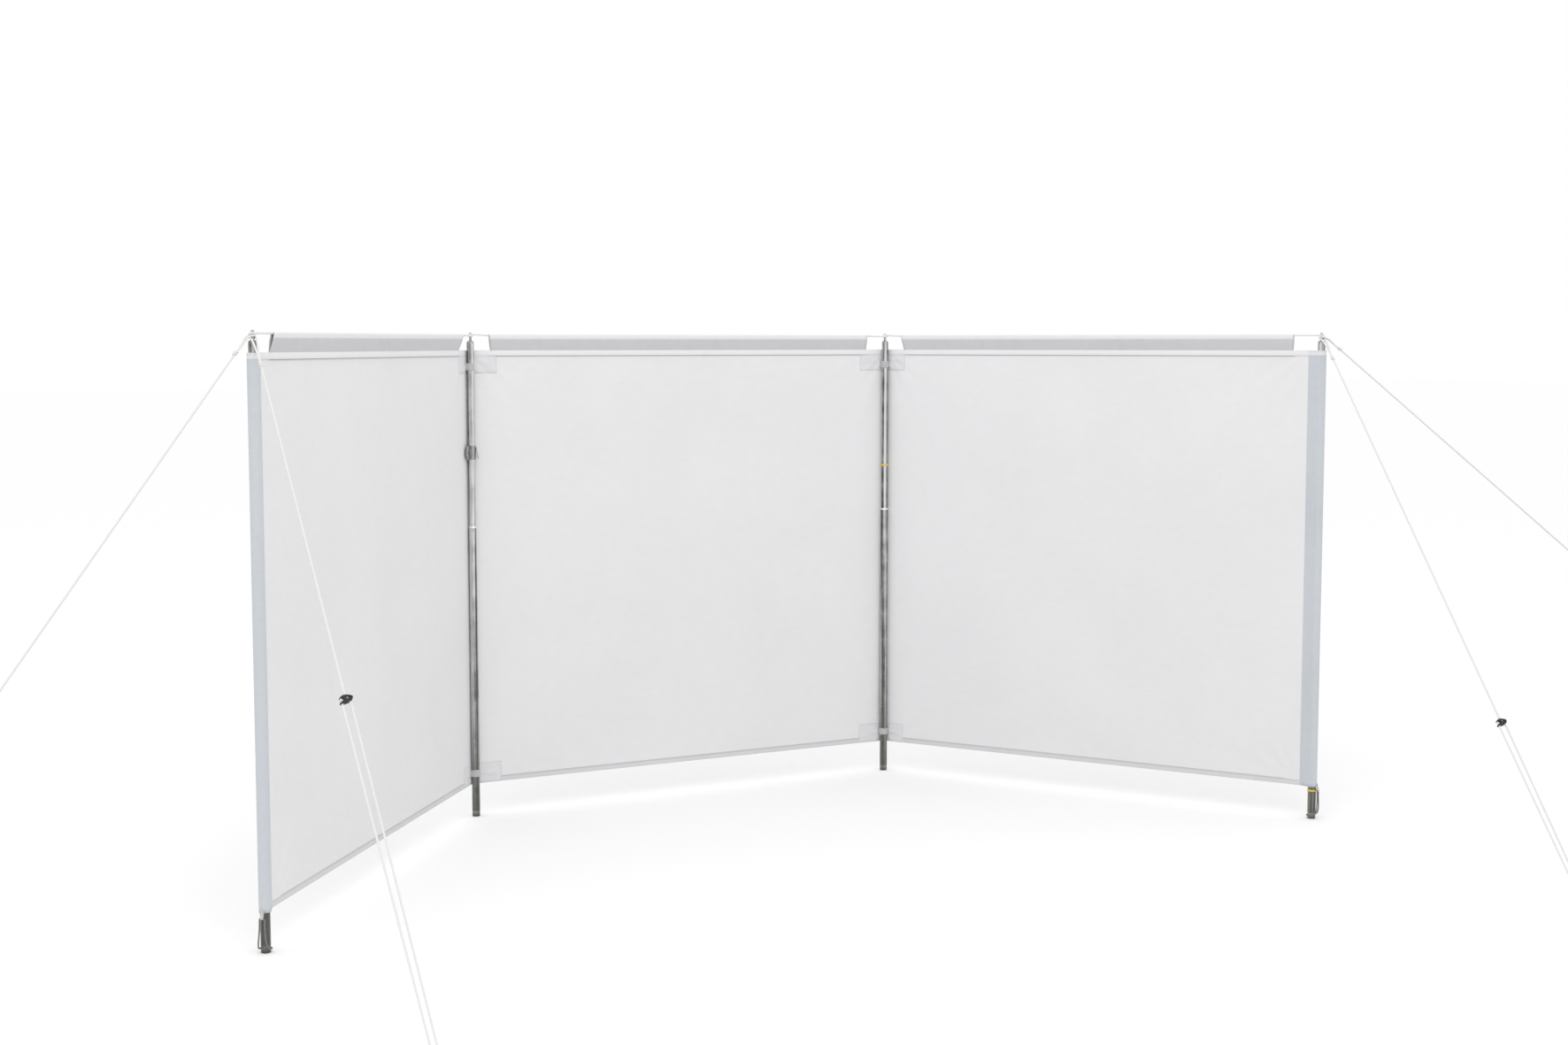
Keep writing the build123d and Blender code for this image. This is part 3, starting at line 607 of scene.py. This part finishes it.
def fold_over(edge, section, flatter=()):
    """A folded edge: its section, as heights above the edge and distances in from the cloth, carried along
    the whole screen. In some stretches of the run its front is pressed flatter, and eases in and out."""
    ease, press = 0.012, 0.5
    run, k = np.meshgrid(screen_runs, np.arange(len(section)), indexing="ij")
    proud = section[k, 1]
    for start, end in flatter:
        inside = fade_in(np.minimum(run - start, end - run) + ease, 2 * ease)
        proud = np.where(proud > 0, proud * (1 - press * inside), proud)
    uv = cut_map(screen_runs[:, None], run_along(section)[None, :])
    return on_screen(run, edge + section[k, 0], proud), uv, True, False, True


hems = [
    skin("bottom_hem", fold_over(cloth_foot, hem_section)),
    skin("top_lip", fold_over(cloth_head, lip_section, flatter=windows)),
]
fit(hems[0], hem_cloth, "screen_cloth")
fit(hems[1], lip_cloth, "screen_cloth")


# Pole sleeves: the outer edges of the screen, folded back round the end poles and sewn down.
# The doubled cloth is painted greyer and bluer than the single screen, a painted shade.
# It creases where it is pulled across.
def teardrop(radius, reach, steps=40):
    """A loop that goes round a circle and closes in two straight lines on a point at the distance reach."""
    opening = np.arccos(radius / reach)
    turn = np.linspace(opening, 2 * np.pi - opening, steps)
    arc = np.stack([radius * np.cos(turn), radius * np.sin(turn)], axis=-1)
    tip = np.array([reach, 0])
    side = np.linspace(0, 1, 14)[:, None]
    return np.concatenate([tip + (arc[0] - tip) * side[:-1], arc, arc[-1] + (tip - arc[-1]) * side[1:-1]])


# painted shade for the doubled cloth; a thin painted shade at the foot of the lip, and a paler painted-light
# band above it
pole_sleeve_cloth = cloth_finish(
    "pole_sleeve_cloth", (0.632, 0.665, 0.708), (0.58, 0.612, 0.655), rows=(0.004, 1.346),
    edges=((1.3335,), ()), soft=0.3, pale=(1.334, 1.36, (0.80, 0.805, 0.825)), thread=0.66,
)
sleeve_loop, fullness, pull_depth = teardrop(radius=0.0146, reach=0.0395), 0.02, 0.045
lengths = run_along(sleeve_loop)
sleeve_heights = np.linspace(cloth_foot, cloth_head, 150)
up, share = np.meshgrid(sleeve_heights, lengths[:-1] / lengths[-1], indexing="ij")
flank = np.sin(np.pi * fade_in(np.minimum(share, 1 - share) - 0.02, 0.28)) ** 2
for side, heading, phase in (("left", left_heading, 0.0), ("right", right_heading, 1.7)):
    pull = ripple(up, 0.21, 9 * share + phase) + 0.8 * ripple(up, 0.083, phase - 14 * share)
    swell = 1 + flank * (fullness + pull_depth * pull)
    inner, off = sleeve_loop[:, 0], sleeve_loop[:, 1] * swell
    x = feet[f"{side}_end"][0] - heading[0] * inner - heading[1] * off
    y = feet[f"{side}_end"][1] - heading[1] * inner + heading[0] * off
    uv = cut_map(lengths[None, :], sleeve_heights[:, None] - cloth_foot)
    sleeve = skin(f"{side}_sleeve", (np.stack([x, y, up], axis=-1), uv, True, False, False))
    thicken(sleeve, 0.0008)
    fit(sleeve, pole_sleeve_cloth, "pole_sleeve_cloth", f"{side}_pole_sleeve")


# Rope sleeves: a doubled band along the top of each bay, with the top rope inside.
# The band is cut back on a slant beside every pole, so that the rope can be reached there.
# painted greyer than the screen as shade for the doubled band; the pale stretch over the top of the roll is
# painted light
rope_sleeve_cloth = cloth_finish(
    "rope_sleeve_cloth", (0.632, 0.634, 0.657), (0.583, 0.585, 0.608), rows=(0.008, 0.107),
    pale=(0.0395, 0.0755, (0.83, 0.83, 0.845)), thread=0.6,
)
# where each starts and ends, and how far its two ends are cut back, at the foot and at the top
rope_sleeves = {
    "left": (feet["left_end"], left_fold, (0.088, 0.112), (0.078, 0.034)),
    "middle": (left_fold, right_fold, (0.076, 0.072), (0.076, 0.072)),
    "right": (right_fold, feet["right_end"], (0.074, 0.062), (0.087, 0.086)),
}
band_radius, band_level, band_rise, band_tuck, band_half, lap = 0.0044, 1.4950, 0.05, 0.004, 0.0009, 0.1
puff_depth, gather_depth, puff_limits = 0.0011, 0.0007, (-0.0008, 0.003)
turn = np.linspace(-lap, np.pi + lap, 17)
rise = np.linspace(0, 1, 13)[:, None]
band_top = np.stack([band_radius * np.cos(turn), band_level + band_radius * np.sin(turn)], axis=-1)
band_foot = np.array([band_half, cloth_head - band_tuck])
band_front = band_foot + (band_top[0] - band_foot) * rise[:-1]
band_back = band_top[-1] + (band_foot * (-1, 1) - band_top[-1]) * rise[1:]
band_section = np.concatenate([band_front, band_top, band_back])
for name, (start, end, near_window, far_window) in rope_sleeves.items():
    along = (end - start) / bay
    inward = np.array([along[1], -along[0]])
    share, k = np.meshgrid(np.linspace(0, 1, 170), np.arange(len(band_section)), indexing="ij")
    proud, height = band_section[k, 0], band_section[k, 1]
    level = fade_in(height - cloth_head, band_rise)
    first = near_window[0] + (near_window[1] - near_window[0]) * level
    last = bay - far_window[0] - (far_window[1] - far_window[0]) * level
    run = first + (last - first) * share
    gather = ripple(run, 0.061) + 0.8 * ripple(run, 0.137, 40 * level) + 0.5 * ripple(run, 0.027, 2)
    steady = fade_in(np.minimum(share, 1 - share), 0.04)
    puff = np.sin(np.pi * level) * (puff_depth + gather_depth * gather * steady)
    proud = proud + np.sign(proud) * np.clip(puff, *puff_limits)
    points = [start[axis] + along[axis] * run + inward[axis] * proud for axis in (0, 1)] + [height]
    uv = cut_map(run, run_along(band_section)[:-1][None, :])
    band = skin(f"{name}_rope_band", open_sheet(np.stack(points, axis=-1), uv))
    thicken(band, 0.0007)
    fit(band, rope_sleeve_cloth, "rope_sleeve_cloth", f"{name}_rope_sleeve")


# Fold patches: doubled oblongs of the same cloth sewn into the two folds, where the poles bear on the screen.
# They are stitched round all four edges and pucker towards the loop in their middle.
patch_middle, patch_outer, patch_rows, patch_seam = 0.097, 0.075, 0.0635, 0.003
patch_width = patch_middle + patch_outer
# painted greyer than the screen as shade for the doubled cloth, with a thin painted shade round the edges
patch_cloth = cloth_finish(
    "patch_cloth", (0.80, 0.80, 0.82), (0.755, 0.755, 0.775), rows=(patch_seam, patch_rows - patch_seam),
    columns=(patch_seam, patch_width - patch_seam), edges=((0.0, patch_rows), (0.0, patch_width)), soft=0.16,
    thread=0.70,
)
flat_from, bend_to, loop_share = 0.016, 0.014, 0.55
patch_edge, patch_body, patch_pressed, crease_low, lip_ease = 0.0006, 0.00065, 0.00055, -0.0001, 0.004
patches_at = (
    ("left", folds_at[0], -patch_outer, patch_middle),
    ("right", folds_at[1], -patch_middle, patch_outer),
)
for side, fold_at, first, last in patches_at:
    runs = [(first, -flat_from, 38), (-bend_to, bend_to, 19), (flat_from, last, 38)]
    runs = np.concatenate([np.linspace(*stretch) for stretch in runs])
    pieces = []
    for floor, height, pucker in ((cloth_head - 0.070, 0.070, 0.0009), (cloth_foot, 0.064, 0.0015)):
        run, rise = np.meshgrid(runs, np.linspace(0, height, 42), indexing="xy")
        from_side, from_edge = np.minimum(run - first, last - run), np.minimum(rise, height - rise)
        above_loop = rise - height * loop_share
        ray = np.cos(np.arctan2(above_loop, np.abs(run)) * 9 + 0.7)
        crease = pucker * ray * fade_in(np.hypot(run, above_loop) - 0.018, 0.02)
        crease = crease * fade_in(from_side, 0.02) * fade_in(from_edge, 0.008)
        proud = patch_edge + patch_body * fade_in(np.minimum(from_side, from_edge), 0.012)
        proud = proud + np.maximum(crease, crease_low)
        under_lip = fade_in(floor + rise - cloth_head + lip_depth + lip_ease, lip_ease)
        proud = proud + (patch_pressed - proud) * under_lip
        points = on_screen(fold_at + run, floor + rise, proud)
        pieces.append(open_sheet(points, np.stack([run - first, rise * patch_rows / height], axis=-1)))
    patches = skin(f"{side}_patches", *pieces)
    thicken(patches, 0.0005)
    fit(patches, patch_cloth, "patch_cloth", f"{side}_fold_patches")


# Pole loops: short lengths of woven tape round the inner poles, one near the top and one near the ground.
# Both ends of the tape are sewn flat to the patch behind the pole.
def tape_finish(name, colour, shade, rib):
    """Woven tape: ribs from a sine wave along it, a herringbone from slanted waves, and pale wear. The
    hollows between the ribs are painted darker, a painted shade.
    """
    finish, tree, shader = new_finish(name, Sheen_Weight=0.15)
    place = node(tree, "TexCoord").outputs
    along, up, _ = node(tree, "SeparateXYZ", Vector=place["UV"]).outputs
    zigzag = sums(tree, "PINGPONG", up, 0.003)
    ribs = sums(tree, "SINE", sums(tree, "MULTIPLY", sums(tree, "ADD", along, zigzag), 2 * np.pi / rib))
    wear = noise(tree, place["Object"], detail=4.0, scale=60.0)
    tone = sums(tree, "MULTIPLY_ADD", ribs, 0.16, wear)
    dyed = ramp(tree, tone, (0.3, shade), (0.7, colour))
    surface(tree, shader, dyed, wear, ribs, smooth=0.6, rough=0.8, strength=0.6, depth=0.0004)
    return finish


loop_tape = tape_finish("loop_tape", (0.66, 0.66, 0.68), (0.54, 0.54, 0.56), rib=0.0016)
loop_wide, loop_clear, loop_lap, tab_stand = 0.022, 0.0009, 0.42, 0.0119
loop_edge = np.linspace(0, loop_wide, 9)
tab_reach = np.array([0.0064, 0.0052, 0.0040])
folds = {
    "left": (feet["left_inner"], left_back, left_turn / 2),
    "right": (feet["right_inner"], right_back, right_turn / 2),
}
for side, (pole, back, half) in folds.items():
    across = np.array([back[1], -back[0]])
    bands = []
    for low, tube_radius in ((1.389, upper_radius), (0.125, lower_radius)):
        swing = np.pi / 2 - half + loop_lap
        turn = np.linspace(-swing, swing, 40)
        front = (tube_radius + loop_clear) * np.stack([np.sin(turn), -np.cos(turn)], axis=-1)
        tab_x = tube_radius + tab_reach
        tabs = np.stack([tab_x, tab_stand / np.cos(half) - tab_x * np.tan(half)], axis=-1)
        line = eased(np.concatenate([tabs * (-1, 1), front, tabs[::-1]]), 0.003, steps=3)
        plan = pole + line[:, :1] * across + line[:, 1:] * back
        up, k = np.meshgrid(low + loop_edge, np.arange(len(line)), indexing="ij")
        uv = cut_map(run_along(line)[:-1][None, :], loop_edge[:, None])
        bands.append(open_sheet(np.stack([plan[k, 0], plan[k, 1], up], axis=-1), uv))
    loops = skin(f"{side}_loops", *bands)
    thicken(loops, 0.0012)
    fit(loops, loop_tape, "loop_tape", f"{side}_pole_loops")


# Top rope: one white braided line along the top of the screen, inside the rope sleeves.
# It takes a turn round the pin of each inner pole and ends in a long spliced eye over each end pin.
def windings(tree, place, lay, count):
    """Two waves that wind round a line in opposite ways: sines of its map, which counts once round the line
    and metres along it, for a turn in each lay."""
    around, along, _ = node(tree, "SeparateXYZ", Vector=place["UV"]).outputs
    turns = sums(tree, "MULTIPLY", along, 1 / lay)
    both = [sums(tree, way, around, turns) for way in ("ADD", "SUBTRACT")]
    return [sums(tree, "SINE", sums(tree, "MULTIPLY", way, count)) for way in both]


def rope_finish(name, colour, shade, strands=8):
    """Braided line: two families of slanted waves cross over each other like plaited strands, under a fine
    fluff of fibres. The grooves between the strands are painted darker, a painted shade."""
    finish, tree, shader = new_finish(name, Sheen_Weight=0.2, Specular_IOR_Level=0.3)
    place = node(tree, "TexCoord").outputs
    plait = sums(tree, "MAXIMUM", *windings(tree, place, lay=0.009, count=np.pi * strands))
    fibre = noise(tree, place["Object"], detail=3.0, scale=900.0)
    tone = sums(tree, "MULTIPLY_ADD", plait, 0.28, sums(tree, "MULTIPLY", fibre, 0.5))
    dyed = ramp(tree, tone, (0.15, shade), (0.55, colour))
    surface(tree, shader, dyed, fibre, plait, smooth=0.55, rough=0.75, strength=0.4, depth=0.0005)
    return finish


def line_tube(path, radius, aside, closed=False, sides=14):
    """A round line: a circle carried along a path, square to it, with one axis kept square to aside."""
    if closed:
        tangent = unit(np.roll(path, -1, 0) - np.roll(path, 1, 0))
    else:
        tangent = unit(np.gradient(path, axis=0))
    first = unit(np.cross(tangent, aside))
    second = np.cross(tangent, first)
    turn = np.linspace(0, 2 * np.pi, sides + 1)
    ring = np.cos(turn)[:-1, None] * first[:, None] + np.sin(turn)[:-1, None] * second[:, None]
    uv = cut_map(turn / (2 * np.pi), run_along(path)[:, None])
    return path[:, None] + radius * ring, uv, True, closed, not closed


def curve_between(start, start_pull, end_pull, end, steps=14):
    """A cubic curve from start to end that leaves and arrives along the two pulls."""
    t = np.linspace(0, 1, steps)[:, None]
    pulled = 3 * t * (1 - t) ** 2 * start_pull + 3 * t**2 * (1 - t) * end_pull
    return (1 - t) ** 3 * start + pulled + t**3 * end


white_rope = rope_finish("white_rope", (0.88, 0.88, 0.87), (0.76, 0.76, 0.75))
rope_radius, eye_radius, turn_radius, rope_level = 0.0025, 0.0024, 0.0068, 1.4962


def rope_eye(pin, outward, tie):
    """An eye: from the tie up one side of the pin, half round behind it, and back down the other side."""
    tie_pull, pin_pull = 0.028, 0.022
    aside = quarter_turn(outward)
    pull = unit(tie - pin) * tie_pull
    turn = np.linspace(np.pi / 2, 3 * np.pi / 2, 16)[1:-1, None]
    near, far = pin + aside * turn_radius, pin - aside * turn_radius
    behind = pin + turn_radius * (np.cos(turn) * outward + np.sin(turn) * aside)
    up = curve_between(tie, tie - pull, near + outward * pin_pull, near)
    down = curve_between(far, far + outward * pin_pull, tie - pull, tie)
    return np.concatenate([up, behind, down])


def level_at(plan, height):
    """A plan point or direction given its height."""
    return np.array([plan[0], plan[1], height])


def pin_turn(pole, arrive, leave, climb=0.0026, steps=44):
    """One and a bit turns round a pin: the arc between the points where the two straight lines touch it."""
    start = np.arctan2(*(pole - arrive)[::-1]) - np.pi / 2
    end = np.arctan2(*(leave - pole)[::-1]) - np.pi / 2
    turn = start + np.linspace(0, (end - start) % (2 * np.pi) + 2 * np.pi, steps)
    ring = [pole[0] + turn_radius * np.cos(turn), pole[1] + turn_radius * np.sin(turn)]
    return np.stack([*ring, rope_level + np.linspace(-climb, climb, steps)], axis=-1)


left_bend, middle_bend, right_bend = 0.0306, np.array([0.0648, 0]), 0.0558
left_splice, right_splice = 0.130, 0.104
left_entry, left_leave = left_fold + left_heading * left_bend, left_fold + middle_bend
right_entry, right_leave = right_fold - middle_bend, right_fold + right_heading * right_bend
left_tie = level_at(feet["left_end"] - left_heading * left_splice, rope_level)
right_tie = level_at(feet["right_end"] - right_heading * right_splice, rope_level)
top_path = np.concatenate([
    [left_tie, level_at(left_entry, rope_level)],
    pin_turn(feet["left_inner"], left_entry, left_leave),
    [level_at(left_leave, rope_level), level_at(right_entry, rope_level)],
    pin_turn(feet["right_inner"], right_entry, right_leave),
    [level_at(right_leave, rope_level), right_tie],
])
top_shapes = [line_tube(top_path, rope_radius, upright)]
for end, heading, tie in (("left_end", -left_heading, left_tie), ("right_end", -right_heading, right_tie)):
    eye_path = rope_eye(level_at(feet[end], rope_level), level_at(heading, 0), tie)
    top_shapes.append(line_tube(eye_path, eye_radius, upright))
fit(skin("top_line", *top_shapes), white_rope, "white_rope", "top_rope")


# Guys: four white braided lines from the end poles to the ground.
# Each hangs from its pin by a tied eye, goes through its runner, round its peg and back up to a knot.
def tie_turns(middle, direction, turns, coil, pitch):
    """The wraps of a knot: a short helix about the rope."""
    slanted = (0.31, 0.42, 0.85)
    aside = unit(np.cross(direction, slanted))
    t = np.linspace(0, 1, 54)[:, None]
    turn = 2 * np.pi * turns * t
    ring = np.cos(turn) * aside + np.sin(turn) * np.cross(direction, aside)
    return middle + direction * (t - 0.5) * pitch * turns + coil * ring


# pole, distance and bearing of the peg, turn on the pin counted from the top, place of the runner on the way
guys = {
    "left_outer": ("left_end", 1.260, -159.3, 1, 0.56),
    "left_front": ("left_end", 1.300, -89.4, 2, 0.515),
    "right_outer": ("right_end", 1.740, -26.1, 1, 0.6),
    "right_front": ("right_end", 1.505, -105.5, 2, 0.678),
}
bight, peg_catch, runner_tilt = 0.0063, 0.024, np.radians(24)
turn_pitch, head_gap, tie_pitch, rope_ease = 0.0053, 0.006, 0.028, 0.006
bore_shift, bore_length, knot_across, knot_below = 0.00034, 0.0234, 0.01513, 0.0095
guy_lines = {}
for name, (pole, reach, bearing, turn, share) in guys.items():
    outward = toward(bearing)
    aside = quarter_turn(outward)
    pin = level_at(feet[pole], rope_level - turn * turn_pitch)
    head = pin + outward * (turn_radius + head_gap)
    heel = level_at(feet[pole] + outward[:2] * reach, peg_catch)
    down = unit(heel - head)
    lift = np.cross(down, aside)
    across_runner = aside * np.cos(runner_tilt) - down * np.sin(runner_tilt)
    up_runner = np.cross(lift, across_runner)
    entry = head + (heel - head) * share
    leave = entry - across_runner * bore_shift - up_runner * bore_length
    knot = entry - across_runner * knot_across - up_runner * knot_below
    tie = head + down * tie_pitch * (1 + turn)
    half = np.linspace(np.pi / 2, -np.pi / 2, 18)[:, None]
    round_peg = heel + bight * (np.cos(half) * down + np.sin(half) * aside)
    rise = unit(knot - round_peg[-1])
    through = eased([tie, entry, leave, round_peg[0]], rope_ease)
    guy_lines[name] = (aside, down, lift, heel)
    guy = skin(
        f"{name}_line",
        line_tube(rope_eye(pin, outward, tie), eye_radius, lift * 0.3 + upright),
        line_tube(tie_turns(tie, down, turns=3.0, coil=0.0033, pitch=0.0042), 0.002, down, sides=10),
        line_tube(np.concatenate([through[:-1], round_peg, [knot]]), rope_radius, lift),
        line_tube(tie_turns(knot, rise, turns=1.6, coil=0.0020, pitch=0.0030), 0.0016, rise, sides=10),
    )
    fit(guy, white_rope, "white_rope", f"{name}_guy")


# Runners: black moulded toggles that slide on the guys and tighten them.
# The rope goes through a bore at one end, and the knot of its return is caught in the notch at the other.
runner_plastic = plastic_finish("runner_plastic", (0.007, 0.007, 0.008), (0.017, 0.017, 0.018), rough=0.46)
for name in guys:
    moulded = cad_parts[f"{name}_runner"].data.copy()
    shape = bmesh.new()
    shape.from_mesh(moulded)
    bmesh.ops.remove_doubles(shape, verts=shape.verts, dist=1e-6)
    bmesh.ops.dissolve_limit(shape, angle_limit=np.radians(1), verts=shape.verts, edges=shape.edges)
    shape.to_mesh(moulded)
    shape.free()
    moulded.polygons.foreach_set("use_smooth", np.ones(len(moulded.polygons), bool))
    runner = bpy.data.objects.new(f"{name}_toggle", moulded)
    bpy.context.scene.collection.objects.link(runner)
    rounded = runner.modifiers.new("edges", "BEVEL")
    rounded.width, rounded.segments = 0.0007, 3
    rounded.limit_method, rounded.angle_limit = "ANGLE", sharp_angle
    rounded.use_clamp_overlap = False
    rounded.harden_normals = True
    fit(runner, runner_plastic, "runner_plastic", f"{name}_runner")


# Pegs: bent steel rods driven in square to the guys, with a hooked head that keeps the rope on.
# They are cut off where they enter the ground.
peg_colours = (0.44, 0.44, 0.43), (0.24, 0.24, 0.235)
peg_steel = steel_finish("peg_steel", *peg_colours, rough=0.32, grain=0.2, tint_height=0.014)
hook_radius, hook_rise, hook_tail, peg_radius, cut_level = 0.009, 0.022, 0.012, 0.0034, 0.0027
for name, (aside, down, lift, heel) in guy_lines.items():
    below = heel - lift * (heel[2] - cut_level) / lift[2]
    turn = np.linspace(0, np.pi, 20)[:, None]
    crown = heel + lift * hook_rise + down * hook_radius
    hook = crown + hook_radius * (np.sin(turn) * lift - np.cos(turn) * down)
    tail = hook[-1] - lift * np.array([[hook_tail - 0.0005], [hook_tail]])
    peg_path = np.concatenate([[below, heel], hook, tail])
    peg = skin(f"{name}_ground_peg", line_tube(peg_path, peg_radius, aside, sides=20))
    fit(peg, peg_steel, "peg_steel", f"{name}_peg")


# Corner tabs: short white tapes sewn to the outside of each pole sleeve's foot.
# The tape is folded into a loop that holds the elastic cord.
tab_tape = tape_finish("tab_tape", (0.76, 0.76, 0.75), (0.64, 0.64, 0.63), rib=0.0014)
tab_half, roll_radius, roll_out, roll_level = 0.004, 0.0029, 0.0186, 0.088
tab_front = [(0.0157, 0.1096), (0.0157, 0.104), (0.0157, 0.098)]
tab_back = [(0.0213, 0.091), (0.0190, 0.0955), (0.0172, 0.101), (0.0170, 0.1088)]
turn = np.linspace(np.pi, 2 * np.pi, 18)
tab_roll = np.stack([roll_out + roll_radius * np.cos(turn), roll_level + roll_radius * np.sin(turn)], axis=-1)
line = eased(np.concatenate([tab_front, tab_roll, tab_back]), 0.002, steps=3)
wide = np.linspace(-tab_half, tab_half, 9)
k, w = np.meshgrid(np.arange(len(line)), wide, indexing="ij")
for side, heading in (("left", left_heading), ("right", right_heading)):
    foot, aside = feet[f"{side}_end"], quarter_turn(heading)
    points = [foot[axis] + heading[axis] * line[k, 0] + aside[axis] * w for axis in (0, 1)] + [line[k, 1]]
    uv = cut_map(run_along(line)[:-1, None], wide[None, :] + tab_half)
    tab = skin(f"{side}_tab", open_sheet(np.stack(points, axis=-1), uv))
    thicken(tab, 0.0009)
    fit(tab, tab_tape, "tab_tape", f"{side}_corner_tab")


# Corner cords: black elastic cord with white flecks, in a loop from each tab to the ground spike.
# The loop pulls the foot of the pole sleeve down.
def cord_finish(name, dark, fleck, bands=3):
    """Covered elastic: bands that wind both ways round the cord, with pale flecks where they cross."""
    finish, tree, shader = new_finish(name, Sheen_Weight=0.1)
    place = node(tree, "TexCoord").outputs
    right, left = windings(tree, place, lay=0.011, count=2 * np.pi * bands)
    fibre = noise(tree, place["Object"], detail=3.0, scale=700.0)
    tone = sums(tree, "MULTIPLY_ADD", fibre, 0.3, sums(tree, "MULTIPLY", right, left))
    dyed, cover = ramp(tree, tone, (0.35, dark), (0.55, fleck)), sums(tree, "MAXIMUM", right, left)
    surface(tree, shader, dyed, fibre, cover, smooth=0.55, rough=0.75, strength=0.5, depth=0.0005)
    return finish


elastic_cord = cord_finish("elastic_cord", (0.02, 0.02, 0.022), (0.66, 0.66, 0.64))
cord_radius, cord_low, low_half, roll_half, roll_drop = 0.002, 0.009, 0.0143, 0.0063, 0.006
top_pull, low_pull, roll_bend = 0.042, 0.024, 0.35
turn = np.linspace(0, np.pi, 26)[1:-1, None]
for side, heading in (("left", left_heading), ("right", right_heading)):
    out, aside = level_at(heading, 0), quarter_turn(heading)
    foot = level_at(feet[f"{side}_end"], 0)
    roll, low = foot + out * roll_out + upright * roll_level, foot + upright * cord_low
    behind = low - low_half * (np.cos(turn) * aside + np.sin(turn) * out)
    sag = roll_drop * (1 - np.sin(turn) ** roll_bend)
    through = roll + roll_half * np.cos(turn) * aside - sag * upright
    strands = []
    for way in (-1, 1):
        top, bottom = roll + way * roll_half * aside - roll_drop * upright, low + way * low_half * aside
        pulls = top - upright * top_pull, bottom + out * low_pull
        strands.append(curve_between(top, *pulls, bottom, steps=30))
    path = np.concatenate([strands[0], behind, strands[1][::-1], through])
    cord = skin(f"{side}_cord", line_tube(path, cord_radius, out - upright, closed=True))
    fit(cord, elastic_cord, "elastic_cord", f"{side}_corner_cord")


# Floor: a plain pale ground that keeps the shadows of the poles and the cloth.
# It is far larger than the view, so its edge never shows.
reach, drop = 60.0, 0.0005
x, y = np.meshgrid([-reach, reach], [-reach, reach], indexing="xy")
ground = np.stack([x, y, np.full_like(x, -drop)], axis=-1)
floor = skin("floor", open_sheet(ground, ground[..., :2]))
floor_paint, tree, shader = new_finish("floor_paint", Roughness=1.0, Specular_IOR_Level=0.0)
rays = node(tree, "LightPath").outputs
seen = sums(tree, "MAXIMUM", rays["Is Glossy Ray"], rays["Is Transmission Ray"])
seen = sums(tree, "MAXIMUM", rays["Is Camera Ray"], seen)
painted, white = (0.72, 0.72, 0.71, 1), (0.99, 0.99, 0.99, 1)
tree.links.new(blend(tree, seen, painted, white), shader.inputs["Base Color"])
floor.data.materials.append(floor_paint)
floor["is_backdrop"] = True


# Light: an even white sky, and one broad soft lamp above the front of the screen.
# The sky is plain white to the camera and to gloss as well.
sky = bpy.data.worlds.new("sky")
bpy.context.scene.world = sky
sky.use_nodes = True
background = sky.node_tree.nodes["Background"].inputs
background["Strength"].default_value = 1.0
background["Color"].default_value = (1, 1, 1, 1)

lamp_data = bpy.data.lights.new("soft_lamp", "AREA")
lamp_data.shape = "DISK"
lamp_data.size = 5.0
lamp_data.energy = 58.0
lamp = bpy.data.objects.new("soft_lamp", lamp_data)
lamp.location = (-1.6, -4.2, 5.2)
lamp.rotation_euler = (np.radians(38), 0, np.radians(-28))
bpy.context.scene.collection.objects.link(lamp)

bpy.context.scene.view_settings.view_transform = "Standard"


# Camera: a little below head height, in front and to the left of the screen.
# A medium lens, turned towards the middle bay and sloping slightly down.
eye_data = bpy.data.cameras.new("camera")
eye_data.sensor_width = 36.0
eye_data.lens = 47.832
eye_data.clip_end = 300.0
eye = bpy.data.objects.new("camera", eye_data)
eye.location = (-2.20811, -6.09644, 1.47312)
eye.rotation_euler = (np.radians(90 - 4.9278), 0, np.radians(-28.4438))
bpy.context.scene.collection.objects.link(eye)
bpy.context.scene.camera = eye

low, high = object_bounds()
